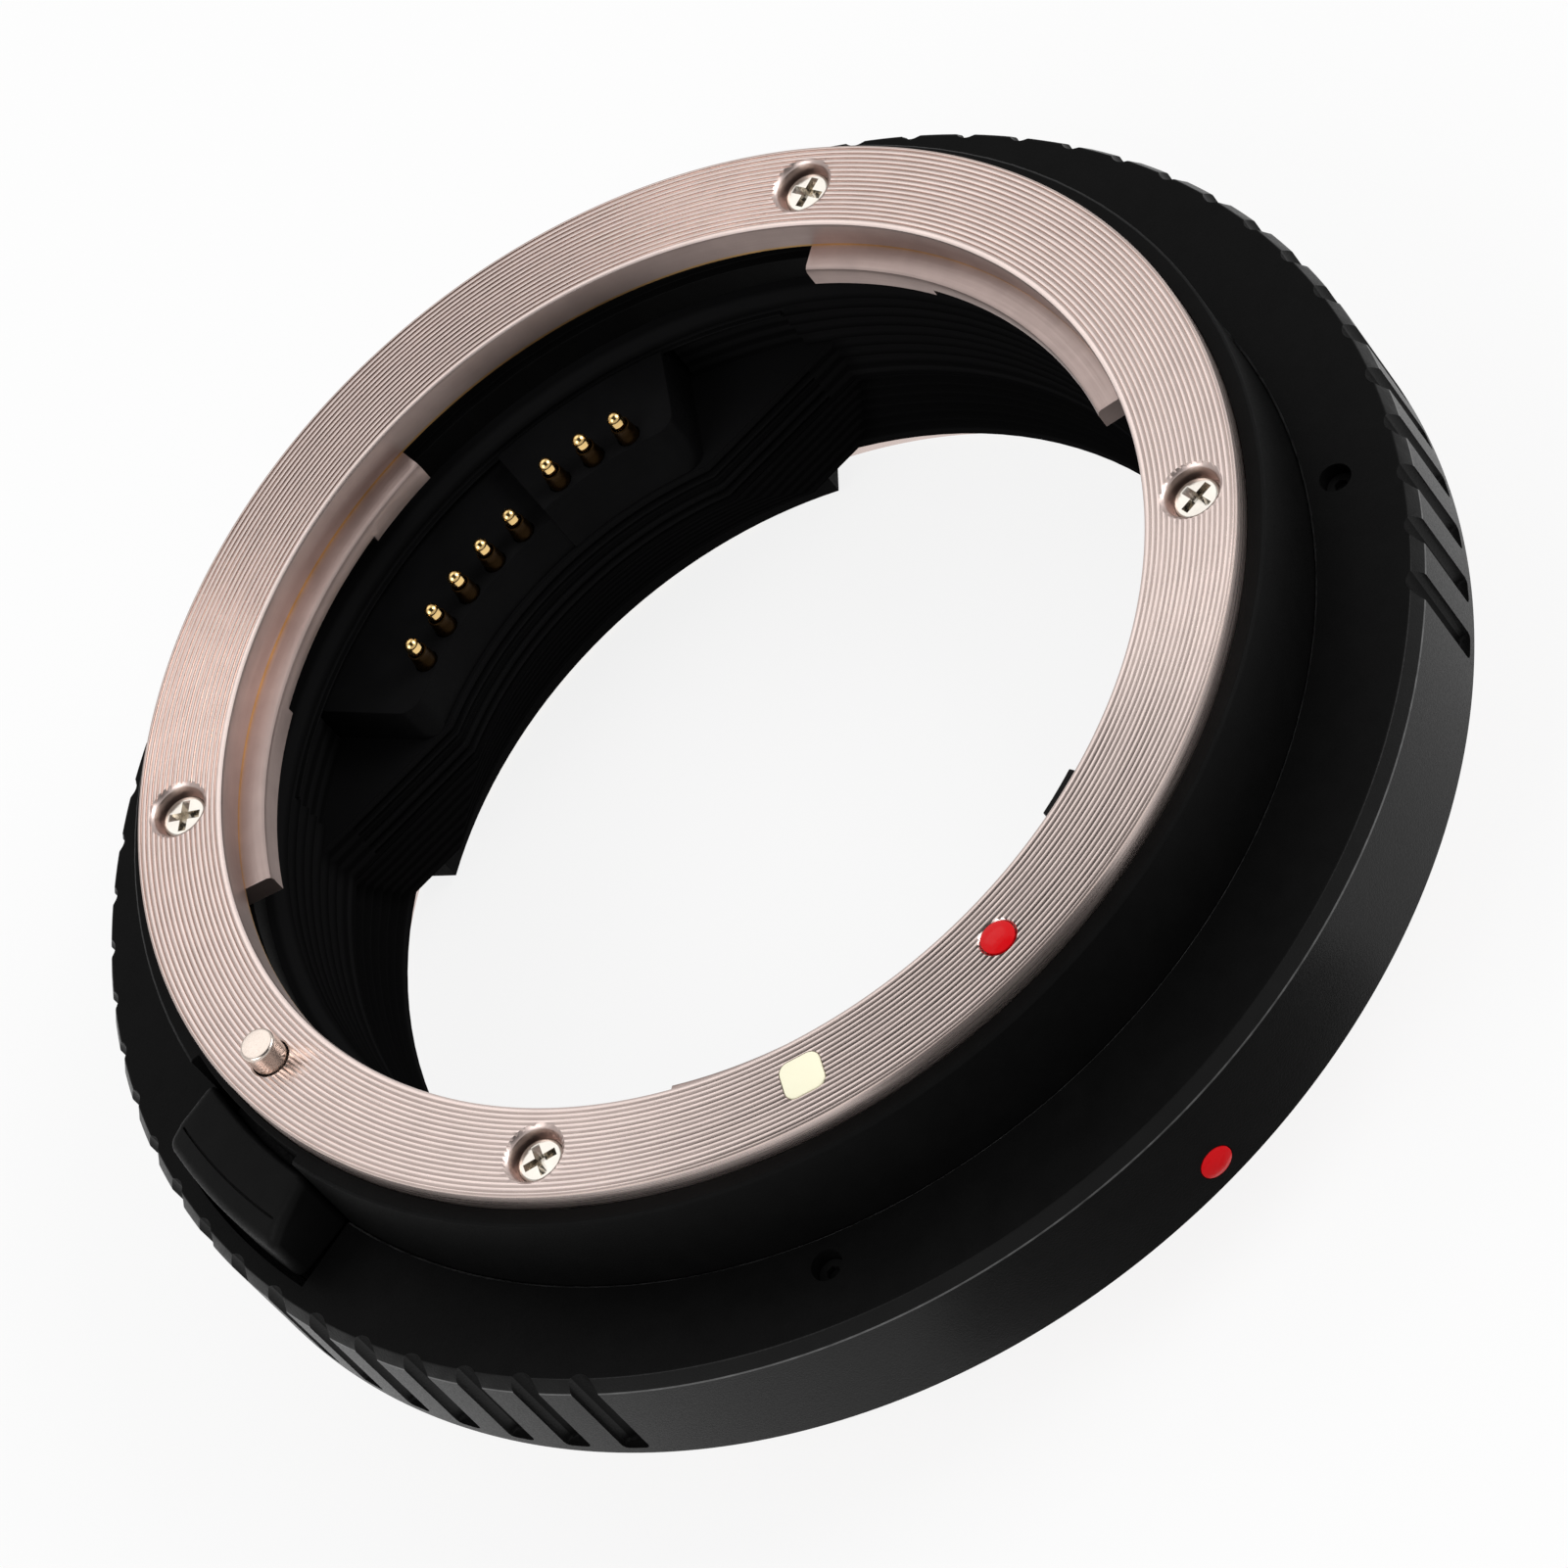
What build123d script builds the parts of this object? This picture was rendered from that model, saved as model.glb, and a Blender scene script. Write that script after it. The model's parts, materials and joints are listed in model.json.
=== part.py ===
from build123d import *
import math
import os

# Lens mount adapter: a 54 mm bayonet for the lens on top, a 65 mm bayonet for
# the camera below, eight sprung contacts, a lens release and a ribbed light path.
# Millimetres. +Z points along the optical axis towards the lens, the index dots
# lie at -Y, and the origin is on the axis at the end of the camera bayonet.

# Clearances between neighbouring pieces
slip = 0.05
seat = 0.1
gap = 0.3

# Driving heights, from the lens flange down and from the bayonet's end up
flange_distance = 17.3
bayonet_length = 5.0
ring_thickness = 1.9
ring_stand = 1.3
neck_height = 6.3
shoulder_fall = 0.35
shoulder_thickness = 1.9
band_drop = 1.2
rear_flange_thickness = 1.4
shelf_drop = 9.9
shelf_thickness = 1.0
path_end_lift = 2.8

# Driving radii and widths, each piece set against the one inside it
throat_radius = 27.0
ring_width = 5.2
lip_width = 0.95
shoulder_width = 5.7
band_wall = 2.1
path_step = 0.7
baffle_wall = 1.4
land_step = 0.45
rear_bore_step = 0.2
rear_wall = 2.7
rear_flange_setback = 2.3

# Edge breaks
fine_edge = 0.15
throat_chamfer = 0.2
band_top_chamfer = 0.5
band_foot_height = 0.6

# Lens bayonet claws: start angle, end angle, start and end of the spring relief
claws = [(-17.5, 36.0, -8.0, 18.0), (92.5, 154.0, 102.7, 128.0), (-130.0, -76.0, -118.0, -92.0)]
claw_reach = 1.6
claw_thickness = 1.3
claw_edge = 0.3
claw_root = 0.8
claw_relief = 0.45
claw_room_depth = 1.5
leaf_thickness = 0.25
leaf_width = 2.0
leaf_end_gap = 1.0
stop_start = -75.2
stop_end = -69.0
stop_reach = 2.6
land_depth = 3.2

# Lens ring screws, lock pin hole and index marks, set from the throat
ring_screw_setback = 2.7
ring_screw_angles = [36.87, 143.13, 216.87, 323.13]
ring_screw_head_radius = 1.32
ring_screw_head_height = 0.7
ring_screw_edge = 0.21
ring_screw_sink = 0.7
ring_screw_shank_radius = 0.8
ring_screw_length = 5.0
counterbore_radius = 1.53
cross_span = 1.72
cross_width = 0.4
cross_depth = 0.42
cross_turn = 20.0
cross_step = 25.0
dot_radius = 0.95
dot_dome = 0.2
dot_depth = 0.6
index_angle = -90.0
mark_angle = -113.4
mark_setback = 2.35
mark_size = 2.3
mark_corner = 0.6
mark_depth = 0.35
band_dot_lift = 3.8

# Grip band flutes
flute_count = 51
flute_start = -42.1
flute_range = 260.2
flute_tool_radius = 0.8
flute_depth = 0.75
flute_sides = 10
flute_end_lift = 2.55

# Screws through the shoulder into the core
shoulder_screw_setback = 1.75
shoulder_screw_angles = [60.1, 150.1, 240.1, 330.1]
shoulder_head_radius = 0.85
shoulder_head_height = 0.7
shoulder_head_sink = 0.9
shoulder_shank_radius = 0.55
shoulder_screw_length = 2.8
socket_radius = 0.42
socket_depth = 0.4

# Release slide and lock pin
release_angle = 180.0
release_travel = 1.6
pin_radius = 1.0
pin_reach = 1.46
pin_chamfer = 0.2
pin_foot = 0.3
button_overlap = 0.2
button_rim = 1.8
button_ledge = 1.3
button_half_angle = 8.4
button_side_angle = 0.5
button_top_drop = 3.0
button_step_drop = 3.75
button_step_height = 0.4
button_edge_drop = 4.6
button_sink = 0.6
button_room = 0.35
notch_depth = 0.6
carriage_half_width = 3.1
carriage_back = 1.2
carriage_back_gap = 0.15
carriage_top_drop = 4.3
carriage_thickness = 2.7
spring_radius = 1.15
spring_wire = 0.26
spring_turns = 3
plug_radius = 1.4
plug_length = 2.0
plug_recess = 0.5

# Contacts: five low ones and three high ones on one circle
contact_inset = 5.05
contact_pitch = 6.1
low_contact_angle = 89.0
low_contact_count = 5
high_contact_angle = 67.8
high_contact_count = 3
low_tip_drop = 5.05
high_rise = 1.07
tip_reach = 1.45
tip_radius = 0.43
tip_height = 0.3
tip_taper = 35
plunger_base_radius = 0.49
plunger_base_length = 0.9
plunger_play = 0.02
sleeve_radius = 0.6
sleeve_bore_radius = 0.52
sleeve_lip = 0.35
sleeve_floor = 0.4
sleeve_rise = 0.6
sleeve_seat = 0.3
sleeve_tail_radius = 0.2
contact_spring_radius = 0.45
contact_spring_bore = 0.3
small_sides = 12
head_sides = 24
hex_sides = 6

# Contact block, its window and the shelf that carries it
block_start = 60.5
block_step_angle = 84.6
block_end = 122.5
block_setback = 0.8
high_setback = 0.9
high_wall_gap = 0.4
block_depth = 1.6
block_corner = 1.2
recess_start = 45.0
recess_end = 135.0
window_height = 3.3
window_side_angle = 0.6
shelf_lip = 0.95
shelf_reach = 8.6
shelf_wall = 0.7
block_screw_setback = 3.75
block_screw_angles = [66.0, 117.0]
block_screw_radius = 0.5
block_screw_head_radius = 0.9
block_screw_head_height = 0.3
block_screw_cover = 1.0

# Ribs of the light path
rib_pitch = 0.9
rib_depth = 0.35
path_taper = 0.9
rib_margin = 0.5
seam_gap = 0.1
shelf_rib_pitch = 0.62
shelf_rib_height = 0.28
shelf_rib_depth = 0.25
shelf_rib_count = 5
wedge_set = 1.95
wedge_arc_set = 3.8
baffle_flange_reach = 1.1
baffle_flange_thickness = 0.7
plug_notch_half_angle = 4.0

# Electronics chamber and boards
chamber_start = 65.0
chamber_end = 131.0
chamber_wall = 0.8
chamber_roof = 0.5
room_side_angle = 6.0
contact_board_start = 62.5
contact_board_end = 117.5
contact_board_reach = 0.9
contact_board_thickness = 0.5
control_board_thickness = 0.8
control_board_setback = 1.8
control_board_lift = 0.7
control_board_margin = 1.5
post_radius = 1.1
post_setback = 1.5
post_margin = 4.5
board_screw_radius = 0.5
board_screw_head_radius = 0.9
board_screw_head_height = 0.35
board_screw_length = 2.0
flex_thickness = 0.15
flex_gap = 0.2
flex_pad = 0.7
flex_foot = 1.6
front_flex_half_width = 3.5
rear_flex_start = 84.0
rear_flex_end = 96.0

# Camera side
rear_screw_setback = 3.2
rear_screw_angles = [45.0, 135.0, 225.0, 315.0]
rear_screw_head_radius = 1.4
rear_screw_head_height = 0.65
countersink_taper = 45
rear_screw_shank_radius = 0.75
rear_screw_length = 3.6
rear_claw_angles = [90.0, 210.0, 330.0]
rear_claw_span = 58.0
rear_claw_reach = 1.6
rear_claw_thickness = 1.6
rear_claw_lift = 0.2
rear_claw_root = 0.2
lock_hole_radius = 1.7
lock_hole_angle = 0.0
lock_hole_depth = 1.5
rear_block_half_angle = 36.5
rear_block_step = 0.74
rear_block_lift = 0.55
pad_count = 12
pad_pitch = 4.3
pad_length = 1.3
pad_width = 1.1
pad_thickness = 0.12
rear_block_screw_half_angle = 31.5
rear_block_screw_radius = 0.4
rear_block_screw_head_radius = 0.62
rear_block_screw_head_height = 0.3
rear_block_screw_length = 2.9

# Heights worked out from the driving sizes
camera_face = bayonet_length
core_rear = camera_face + rear_flange_thickness
lens_face = camera_face + flange_distance
lip_top = lens_face - ring_stand
rebate_floor = lens_face - ring_thickness
shoulder_top = lip_top - neck_height
plate_bottom = shoulder_top - shoulder_thickness
band_top = shoulder_top - band_drop
claw_top = rebate_floor
claw_bottom = claw_top - claw_thickness
claw_room = rebate_floor - claw_room_depth
land_bottom = rebate_floor - land_depth
shelf_top = lens_face - shelf_drop
shelf_bottom = shelf_top - shelf_thickness
window_top = shelf_top + window_height
seam = (shelf_bottom + core_rear) / 2
path_end = path_end_lift
rear_top = seam - seam_gap
chamber_top = plate_bottom - chamber_roof
carriage_top = lens_face - carriage_top_drop
carriage_bottom = carriage_top - carriage_thickness
room_low = carriage_bottom - release_travel - seat
room_high = carriage_top + 2 * seat
button_bottom = shoulder_top - button_sink
button_floor = button_bottom - release_travel - gap
plug_bottom = core_rear + plug_recess
plug_top = plug_bottom + plug_length
low_tip = lens_face - low_tip_drop
low_sleeve_top = low_tip - tip_reach
low_block_top = low_sleeve_top - sleeve_rise
sleeve_bottom = shelf_top - sleeve_seat
contact_board_top = shelf_bottom - slip
contact_board_bottom = contact_board_top - contact_board_thickness
control_board_bottom = core_rear + control_board_lift
control_board_top = control_board_bottom + control_board_thickness
band_dot_z = camera_face + band_dot_lift
flute_end = camera_face + flute_end_lift

# Radii worked out from the driving sizes
ring_radius = throat_radius + ring_width
neck_radius = ring_radius + slip + lip_width
band_radius = neck_radius + shoulder_width
core_radius = band_radius - band_wall
claw_radius = throat_radius - claw_reach
claw_foot_radius = throat_radius + claw_root
path_radius = throat_radius - path_step
baffle_radius = path_radius + baffle_wall
bore_radius = baffle_radius + seat
land_radius = bore_radius - land_step
rear_baffle_radius = baffle_radius - gap
baffle_flange_radius = bore_radius + baffle_flange_reach
rear_bore_radius = bore_radius + rear_bore_step
rear_wall_radius = rear_bore_radius + rear_wall
rear_claw_radius = rear_wall_radius + rear_claw_reach
rear_flange_radius = band_radius - rear_flange_setback
ring_screw_circle = throat_radius + ring_screw_setback
mark_circle = throat_radius + mark_setback
shoulder_screw_circle = neck_radius + shoulder_screw_setback
rear_screw_circle = rear_wall_radius + rear_screw_setback
button_inner_radius = neck_radius - button_overlap
button_outer_radius = band_radius - button_rim
button_step_radius = button_outer_radius - button_ledge
carriage_inner_radius = ring_screw_circle - carriage_back
contact_circle = path_radius - contact_inset
shelf_arc_radius = contact_circle - shelf_lip
shelf_edge = path_radius - shelf_reach
wedge_edge = shelf_edge + wedge_set
wedge_arc_radius = shelf_arc_radius + wedge_arc_set
block_outer_radius = baffle_radius + block_depth
neck_room_radius = block_outer_radius + gap
block_screw_circle = contact_circle + block_screw_setback
contact_board_outer = baffle_radius + contact_board_reach
chamber_radius = core_radius - chamber_wall
control_board_inner = bore_radius + control_board_setback
control_board_outer = chamber_radius - gap
post_circle = control_board_outer - post_setback
rear_block_radius = path_radius - rear_block_step
pad_circle = (rear_block_radius + rear_baffle_radius) / 2


def polar(radius, angle, z=0.0):
    """A point at a radius, an angle in degrees and a height."""
    turn = math.radians(angle)
    return (radius * math.cos(turn), radius * math.sin(turn), z)


def radial_plane(angle):
    """The plane through the optical axis whose first direction is radial."""
    return Plane(origin=(0, 0, 0), x_dir=polar(1, angle), z_dir=polar(1, angle - 90))


def turned(outline, start=0.0, end=360.0, mode=Mode.ADD):
    """Turns an outline of (radius, height) points about the optical axis."""
    with BuildSketch(radial_plane(start)) as section:
        with BuildLine():
            Polyline(*outline, close=True)
        make_face()
    revolve(section.sketch, axis=Axis.Z, revolution_arc=end - start, mode=mode)


def slice_of_ring(inner, outer, low, high, start=0.0, end=360.0, mode=Mode.ADD):
    """A plain ring, or a slice of one, between two radii and two heights."""
    outline = [(inner, low), (outer, low), (outer, high), (inner, high)]
    turned(outline, start, end, mode)


def drilled(places, radius, low, high, mode=Mode.SUBTRACT):
    """Round holes, or posts, between two heights at a list of points."""
    with BuildSketch(Plane.XY.offset(low)) as rounds:
        with Locations(*[(x, y) for x, y, z in places]):
            Circle(radius)
    extrude(rounds.sketch, amount=high - low, mode=mode)


def small_drilled(places, radius, low, high, sides=small_sides):
    """The smallest holes, with flats that lie outside the stated radius."""
    with BuildSketch(Plane.XY.offset(low)) as rounds:
        with Locations(*[(x, y) for x, y, z in places]):
            RegularPolygon(radius, sides, major_radius=False)
    extrude(rounds.sketch, amount=high - low, mode=Mode.SUBTRACT)


def small_posts(places, radius, low, high, sides=small_sides):
    """The smallest shafts and heads, with corners on the stated radius."""
    with BuildSketch(Plane.XY.offset(low)) as rounds:
        with Locations(*[(x, y) for x, y, z in places]):
            RegularPolygon(radius, sides)
    extrude(rounds.sketch, amount=high - low)


def ribbed_wall(radius, top, bottom):
    """Points down a wall, from top to bottom, with as many V ribs as fit."""
    count = int((top - bottom - rib_margin) / rib_pitch)
    points = [(radius, top)]
    for rib in range(count):
        z = top - rib * rib_pitch
        points.append((radius + rib_depth, z - rib_pitch / 2))
        points.append((radius, z - rib_pitch))
    return points


ring_screw_places = [polar(ring_screw_circle, a) for a in ring_screw_angles]
shoulder_screw_places = [polar(shoulder_screw_circle, a) for a in shoulder_screw_angles]
rear_screw_places = [polar(rear_screw_circle, a) for a in rear_screw_angles]
block_screw_places = [polar(block_screw_circle, a) for a in block_screw_angles]
post_places = [polar(post_circle, a) for a in (chamber_start + post_margin, chamber_end - post_margin)]
rear_block_screw_places = [
    polar(pad_circle, 90 + side * rear_block_screw_half_angle) for side in (-1, 1)
]
pin_place = polar(ring_screw_circle, release_angle)
dot_place = polar(ring_screw_circle, index_angle)
low_contacts = [
    polar(contact_circle, low_contact_angle + i * contact_pitch) for i in range(low_contact_count)
]
high_contacts = [
    polar(contact_circle, high_contact_angle + i * contact_pitch) for i in range(high_contact_count)
]
contacts = [(place, 0.0) for place in low_contacts] + [(place, high_rise) for place in high_contacts]
contact_places = low_contacts + high_contacts


# Lens side mounting ring: flange plate, throat and the three bayonet claws
with BuildPart() as lens_mount_ring:
    turned([
        (throat_radius, rebate_floor),
        (ring_radius, rebate_floor),
        (ring_radius, lens_face - fine_edge),
        (ring_radius - fine_edge, lens_face),
        (throat_radius + throat_chamfer, lens_face),
        (throat_radius, lens_face - throat_chamfer),
    ])
    for start, end, relief_start, relief_end in claws:
        turned([
            (claw_radius, claw_bottom),
            (claw_foot_radius, claw_bottom),
            (claw_foot_radius, claw_top),
            (claw_radius + claw_edge, claw_top),
            (claw_radius, claw_top - claw_edge),
        ], start, end)
        slice_of_ring(
            claw_radius - gap, claw_foot_radius + gap, claw_bottom - gap, claw_bottom + claw_relief,
            relief_start, relief_end, Mode.SUBTRACT,
        )
    ring_head_top = lens_face - ring_screw_sink
    ring_head_seat = ring_head_top - ring_screw_head_height
    small_drilled(ring_screw_places, ring_screw_shank_radius + slip, rebate_floor, ring_head_seat)
    drilled(ring_screw_places, counterbore_radius, ring_head_seat, lens_face)
    drilled([pin_place], pin_radius + seat, rebate_floor, lens_face)
    drilled([dot_place], dot_radius + slip, lens_face - dot_depth, lens_face)
    with BuildSketch(Plane(
        origin=polar(mark_circle, mark_angle, lens_face - mark_depth), x_dir=polar(1, mark_angle),
        z_dir=(0, 0, 1),
    )):
        RectangleRounded(mark_size + 2 * slip, mark_size + 2 * slip, mark_corner + slip)
    extrude(amount=mark_depth, mode=Mode.SUBTRACT)

# Red index bead in the ring's face, with a domed top
with BuildPart() as flange_index_dot:
    with BuildSketch(radial_plane(index_angle)):
        with BuildLine():
            dome_foot = (ring_screw_circle + dot_radius, lens_face)
            dome_top = (ring_screw_circle, lens_face + dot_dome)
            Polyline(
                dome_foot,
                (ring_screw_circle + dot_radius, lens_face - dot_depth + slip),
                (ring_screw_circle, lens_face - dot_depth + slip),
                dome_top,
            )
            TangentArc(dome_top, dome_foot, tangent=(1, 0))
        make_face()
    revolve(axis=Axis(dot_place, (0, 0, 1)))

# Pale index mark, a rounded square let into the ring's face
with BuildPart() as flange_index_mark:
    with BuildSketch(Plane(
        origin=polar(mark_circle, mark_angle, lens_face - mark_depth + slip), x_dir=polar(1, mark_angle),
        z_dir=(0, 0, 1),
    )):
        RectangleRounded(mark_size, mark_size, mark_corner)
    extrude(amount=mark_depth)

# Pan head screws that hold the ring, each with a cross recess
with BuildPart() as lens_mount_screws:
    small_posts(
        ring_screw_places, ring_screw_head_radius, ring_head_seat, ring_head_top, head_sides,
    )
    chamfer(edges().group_by(Axis.Z)[-1], ring_screw_edge)
    small_posts(
        ring_screw_places, ring_screw_shank_radius, ring_head_seat - ring_screw_length, ring_head_seat
    )
    with BuildSketch(Plane.XY.offset(ring_head_top)):
        for turn, place in enumerate(ring_screw_places):
            with Locations(Location(place, (0, 0, cross_turn + cross_step * turn))):
                Rectangle(cross_span, cross_width)
                Rectangle(cross_width, cross_span)
    extrude(amount=-cross_depth, mode=Mode.SUBTRACT)

# Leaf springs under the claws, which draw the lens against the flange
with BuildPart() as leaf_springs:
    leaf_top = claw_bottom + claw_relief - slip
    for start, end, relief_start, relief_end in claws:
        slice_of_ring(
            claw_foot_radius - leaf_width, claw_foot_radius, leaf_top - leaf_thickness, leaf_top,
            relief_start + leaf_end_gap, relief_end - leaf_end_gap,
        )

# Stop that ends the lens's turn
with BuildPart() as rotation_stop:
    slice_of_ring(
        claw_foot_radius - stop_reach, claw_foot_radius, claw_room + slip, rebate_floor - slip,
        stop_start, stop_end,
    )

# Neck housing: the turned core behind the neck, with its chamber and pockets
with BuildPart() as neck_housing:
    turned([
        (bore_radius, core_rear),
        (core_radius, core_rear),
        (core_radius, plate_bottom),
        (neck_radius, plate_bottom),
        (neck_radius, lip_top - fine_edge),
        (neck_radius - fine_edge, lip_top),
        (ring_radius + slip, lip_top),
        (ring_radius + slip, rebate_floor),
        (claw_foot_radius + seat, rebate_floor),
        (claw_foot_radius + seat, claw_room),
        (land_radius, claw_room),
        (land_radius, land_bottom),
        (bore_radius, land_bottom),
    ])
    slice_of_ring(
        bore_radius - gap, baffle_flange_radius + seat, core_rear, core_rear + baffle_flange_thickness,
        mode=Mode.SUBTRACT,
    )
    # electronics chamber, open to the rear, and the room behind the contact window
    slice_of_ring(
        bore_radius - gap, chamber_radius, core_rear, chamber_top,
        chamber_start, chamber_end, Mode.SUBTRACT,
    )
    slice_of_ring(
        bore_radius - gap, neck_room_radius, core_rear, window_top,
        chamber_start - room_side_angle, chamber_end + room_side_angle, Mode.SUBTRACT,
    )
    drilled(post_places, post_radius, control_board_top, chamber_top, Mode.ADD)
    small_drilled(post_places, board_screw_radius + slip, control_board_top, chamber_top)
    # release notch, carriage room, pin guide and spring bore
    notch_half_angle = button_half_angle + button_side_angle
    slice_of_ring(
        neck_radius - notch_depth, neck_radius + gap, plate_bottom, lip_top,
        release_angle - notch_half_angle, release_angle + notch_half_angle, Mode.SUBTRACT,
    )
    slice_of_ring(
        neck_radius - notch_depth, button_outer_radius + button_room, button_floor, plate_bottom,
        release_angle - notch_half_angle, release_angle + notch_half_angle, Mode.SUBTRACT,
    )
    room_inner = carriage_inner_radius - carriage_back_gap
    with BuildSketch(Plane.XY.offset(room_low)):
        with Locations((-(room_inner + neck_radius) / 2, 0)):
            Rectangle(neck_radius - room_inner, 2 * (carriage_half_width + gap))
    extrude(amount=room_high - room_low, mode=Mode.SUBTRACT)
    drilled([pin_place], pin_radius + slip, room_high, rebate_floor)
    drilled([pin_place], plug_radius + slip, core_rear, room_low)
    # screw holes from both sides and the camera lock's recess
    small_drilled(
        ring_screw_places, ring_screw_shank_radius + slip,
        ring_head_seat - ring_screw_length - gap, rebate_floor,
    )
    small_drilled(
        shoulder_screw_places, shoulder_shank_radius + slip,
        plate_bottom - shoulder_screw_length, plate_bottom,
    )
    small_drilled(
        rear_screw_places, rear_screw_shank_radius + slip,
        core_rear, camera_face + rear_screw_length + gap,
    )
    drilled(
        [polar(rear_screw_circle, lock_hole_angle)], lock_hole_radius,
        core_rear, core_rear + lock_hole_depth,
    )

# Grip body: shoulder plate and fluted band over the core
with BuildPart() as grip_body:
    turned([
        (core_radius + slip, core_rear),
        (band_radius - band_foot_height, core_rear),
        (band_radius, core_rear + band_foot_height),
        (band_radius, band_top),
        (band_radius - band_top_chamfer, shoulder_top - shoulder_fall),
        (neck_radius + slip, shoulder_top),
        (neck_radius + slip, plate_bottom),
        (core_radius + slip, plate_bottom),
    ])
    flute_circle = band_radius + flute_tool_radius - flute_depth
    with BuildSketch(Plane.XY.offset(flute_end)):
        with PolarLocations(flute_circle, flute_count, flute_start, flute_range, endpoint=True):
            RegularPolygon(flute_tool_radius, flute_sides)
    extrude(amount=shoulder_top - flute_end, mode=Mode.SUBTRACT)
    slice_of_ring(
        neck_radius, button_outer_radius + button_room, button_floor, shoulder_top,
        release_angle - notch_half_angle, release_angle + notch_half_angle, Mode.SUBTRACT,
    )
    cap_top = shoulder_top - shoulder_head_sink
    cap_seat = cap_top - shoulder_head_height
    small_drilled(shoulder_screw_places, shoulder_shank_radius + slip, plate_bottom, cap_seat)
    small_drilled(
        shoulder_screw_places, shoulder_head_radius + seat, cap_seat, shoulder_top, head_sides,
    )
    with BuildSketch(Plane(origin=(0, -band_radius + dot_depth, band_dot_z), z_dir=(0, -1, 0))):
        Circle(dot_radius + slip)
    extrude(amount=dot_depth, mode=Mode.SUBTRACT)

# Red index bead on the grip band
with BuildPart() as band_index_dot:
    with BuildSketch(Plane.YZ):
        with BuildLine():
            band_dome_foot = (-band_radius, band_dot_z + dot_radius)
            band_dome_top = (-band_radius - dot_dome, band_dot_z)
            Polyline(
                band_dome_foot,
                (-band_radius + dot_depth - slip, band_dot_z + dot_radius),
                (-band_radius + dot_depth - slip, band_dot_z),
                band_dome_top,
            )
            TangentArc(band_dome_top, band_dome_foot, tangent=(0, 1))
        make_face()
    revolve(axis=Axis((0, 0, band_dot_z), (0, 1, 0)))

# Cap screws sunk in the shoulder
with BuildPart() as shoulder_screws:
    small_posts(shoulder_screw_places, shoulder_head_radius, cap_seat, cap_top, head_sides)
    small_posts(
        shoulder_screw_places, shoulder_shank_radius,
        plate_bottom - shoulder_screw_length + gap, cap_seat,
    )
    with BuildSketch(Plane.XY.offset(cap_top)):
        with Locations(*[(x, y) for x, y, z in shoulder_screw_places]):
            RegularPolygon(socket_radius, hex_sides)
    extrude(amount=-socket_depth, mode=Mode.SUBTRACT)

# Release button with its arm and carriage, one piece
with BuildPart() as release_button:
    turned([
        (button_inner_radius, button_bottom),
        (button_outer_radius, button_bottom),
        (button_outer_radius, lens_face - button_edge_drop),
        (button_step_radius, lens_face - button_step_drop - button_step_height),
        (button_step_radius, lens_face - button_step_drop),
        (button_inner_radius, lens_face - button_top_drop),
    ], release_angle - button_half_angle, release_angle + button_half_angle)
    with BuildSketch(Plane.XY.offset(carriage_bottom)):
        with Locations((-(carriage_inner_radius + button_inner_radius + gap) / 2, 0)):
            Rectangle(button_inner_radius + gap - carriage_inner_radius, 2 * carriage_half_width)
    extrude(amount=carriage_thickness)
    drilled([pin_place], pin_radius + slip / 2, carriage_bottom + pin_foot, carriage_top)

# Lock pin, which stands through the flange
with BuildPart() as lock_pin:
    drilled([pin_place], pin_radius, carriage_bottom + pin_foot, lens_face + pin_reach, Mode.ADD)
    chamfer(edges().filter_by(GeomType.CIRCLE).group_by(Axis.Z)[-1], pin_chamfer)

# Coil spring that lifts the release, wound from square wire
with BuildPart() as release_spring:
    coil_length = carriage_bottom - plug_top - spring_wire - 2 * slip
    with BuildLine() as coil:
        Helix(
            pitch=coil_length / spring_turns, height=coil_length, radius=spring_radius,
            center=(pin_place[0], pin_place[1], plug_top + spring_wire / 2 + slip),
        )
    with BuildSketch(Plane(origin=coil.line @ 0, z_dir=coil.line % 0)):
        Rectangle(spring_wire, spring_wire)
    sweep(path=coil.line, is_frenet=True)

# Grub screw that closes the spring bore
with BuildPart() as spring_plug:
    drilled([pin_place], plug_radius, plug_bottom, plug_top, Mode.ADD)
    with BuildSketch(Plane.XY.offset(plug_bottom)):
        with Locations(pin_place[:2]):
            RegularPolygon(plug_radius / 2, hex_sides)
    extrude(amount=plug_length / 2, mode=Mode.SUBTRACT)

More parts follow.
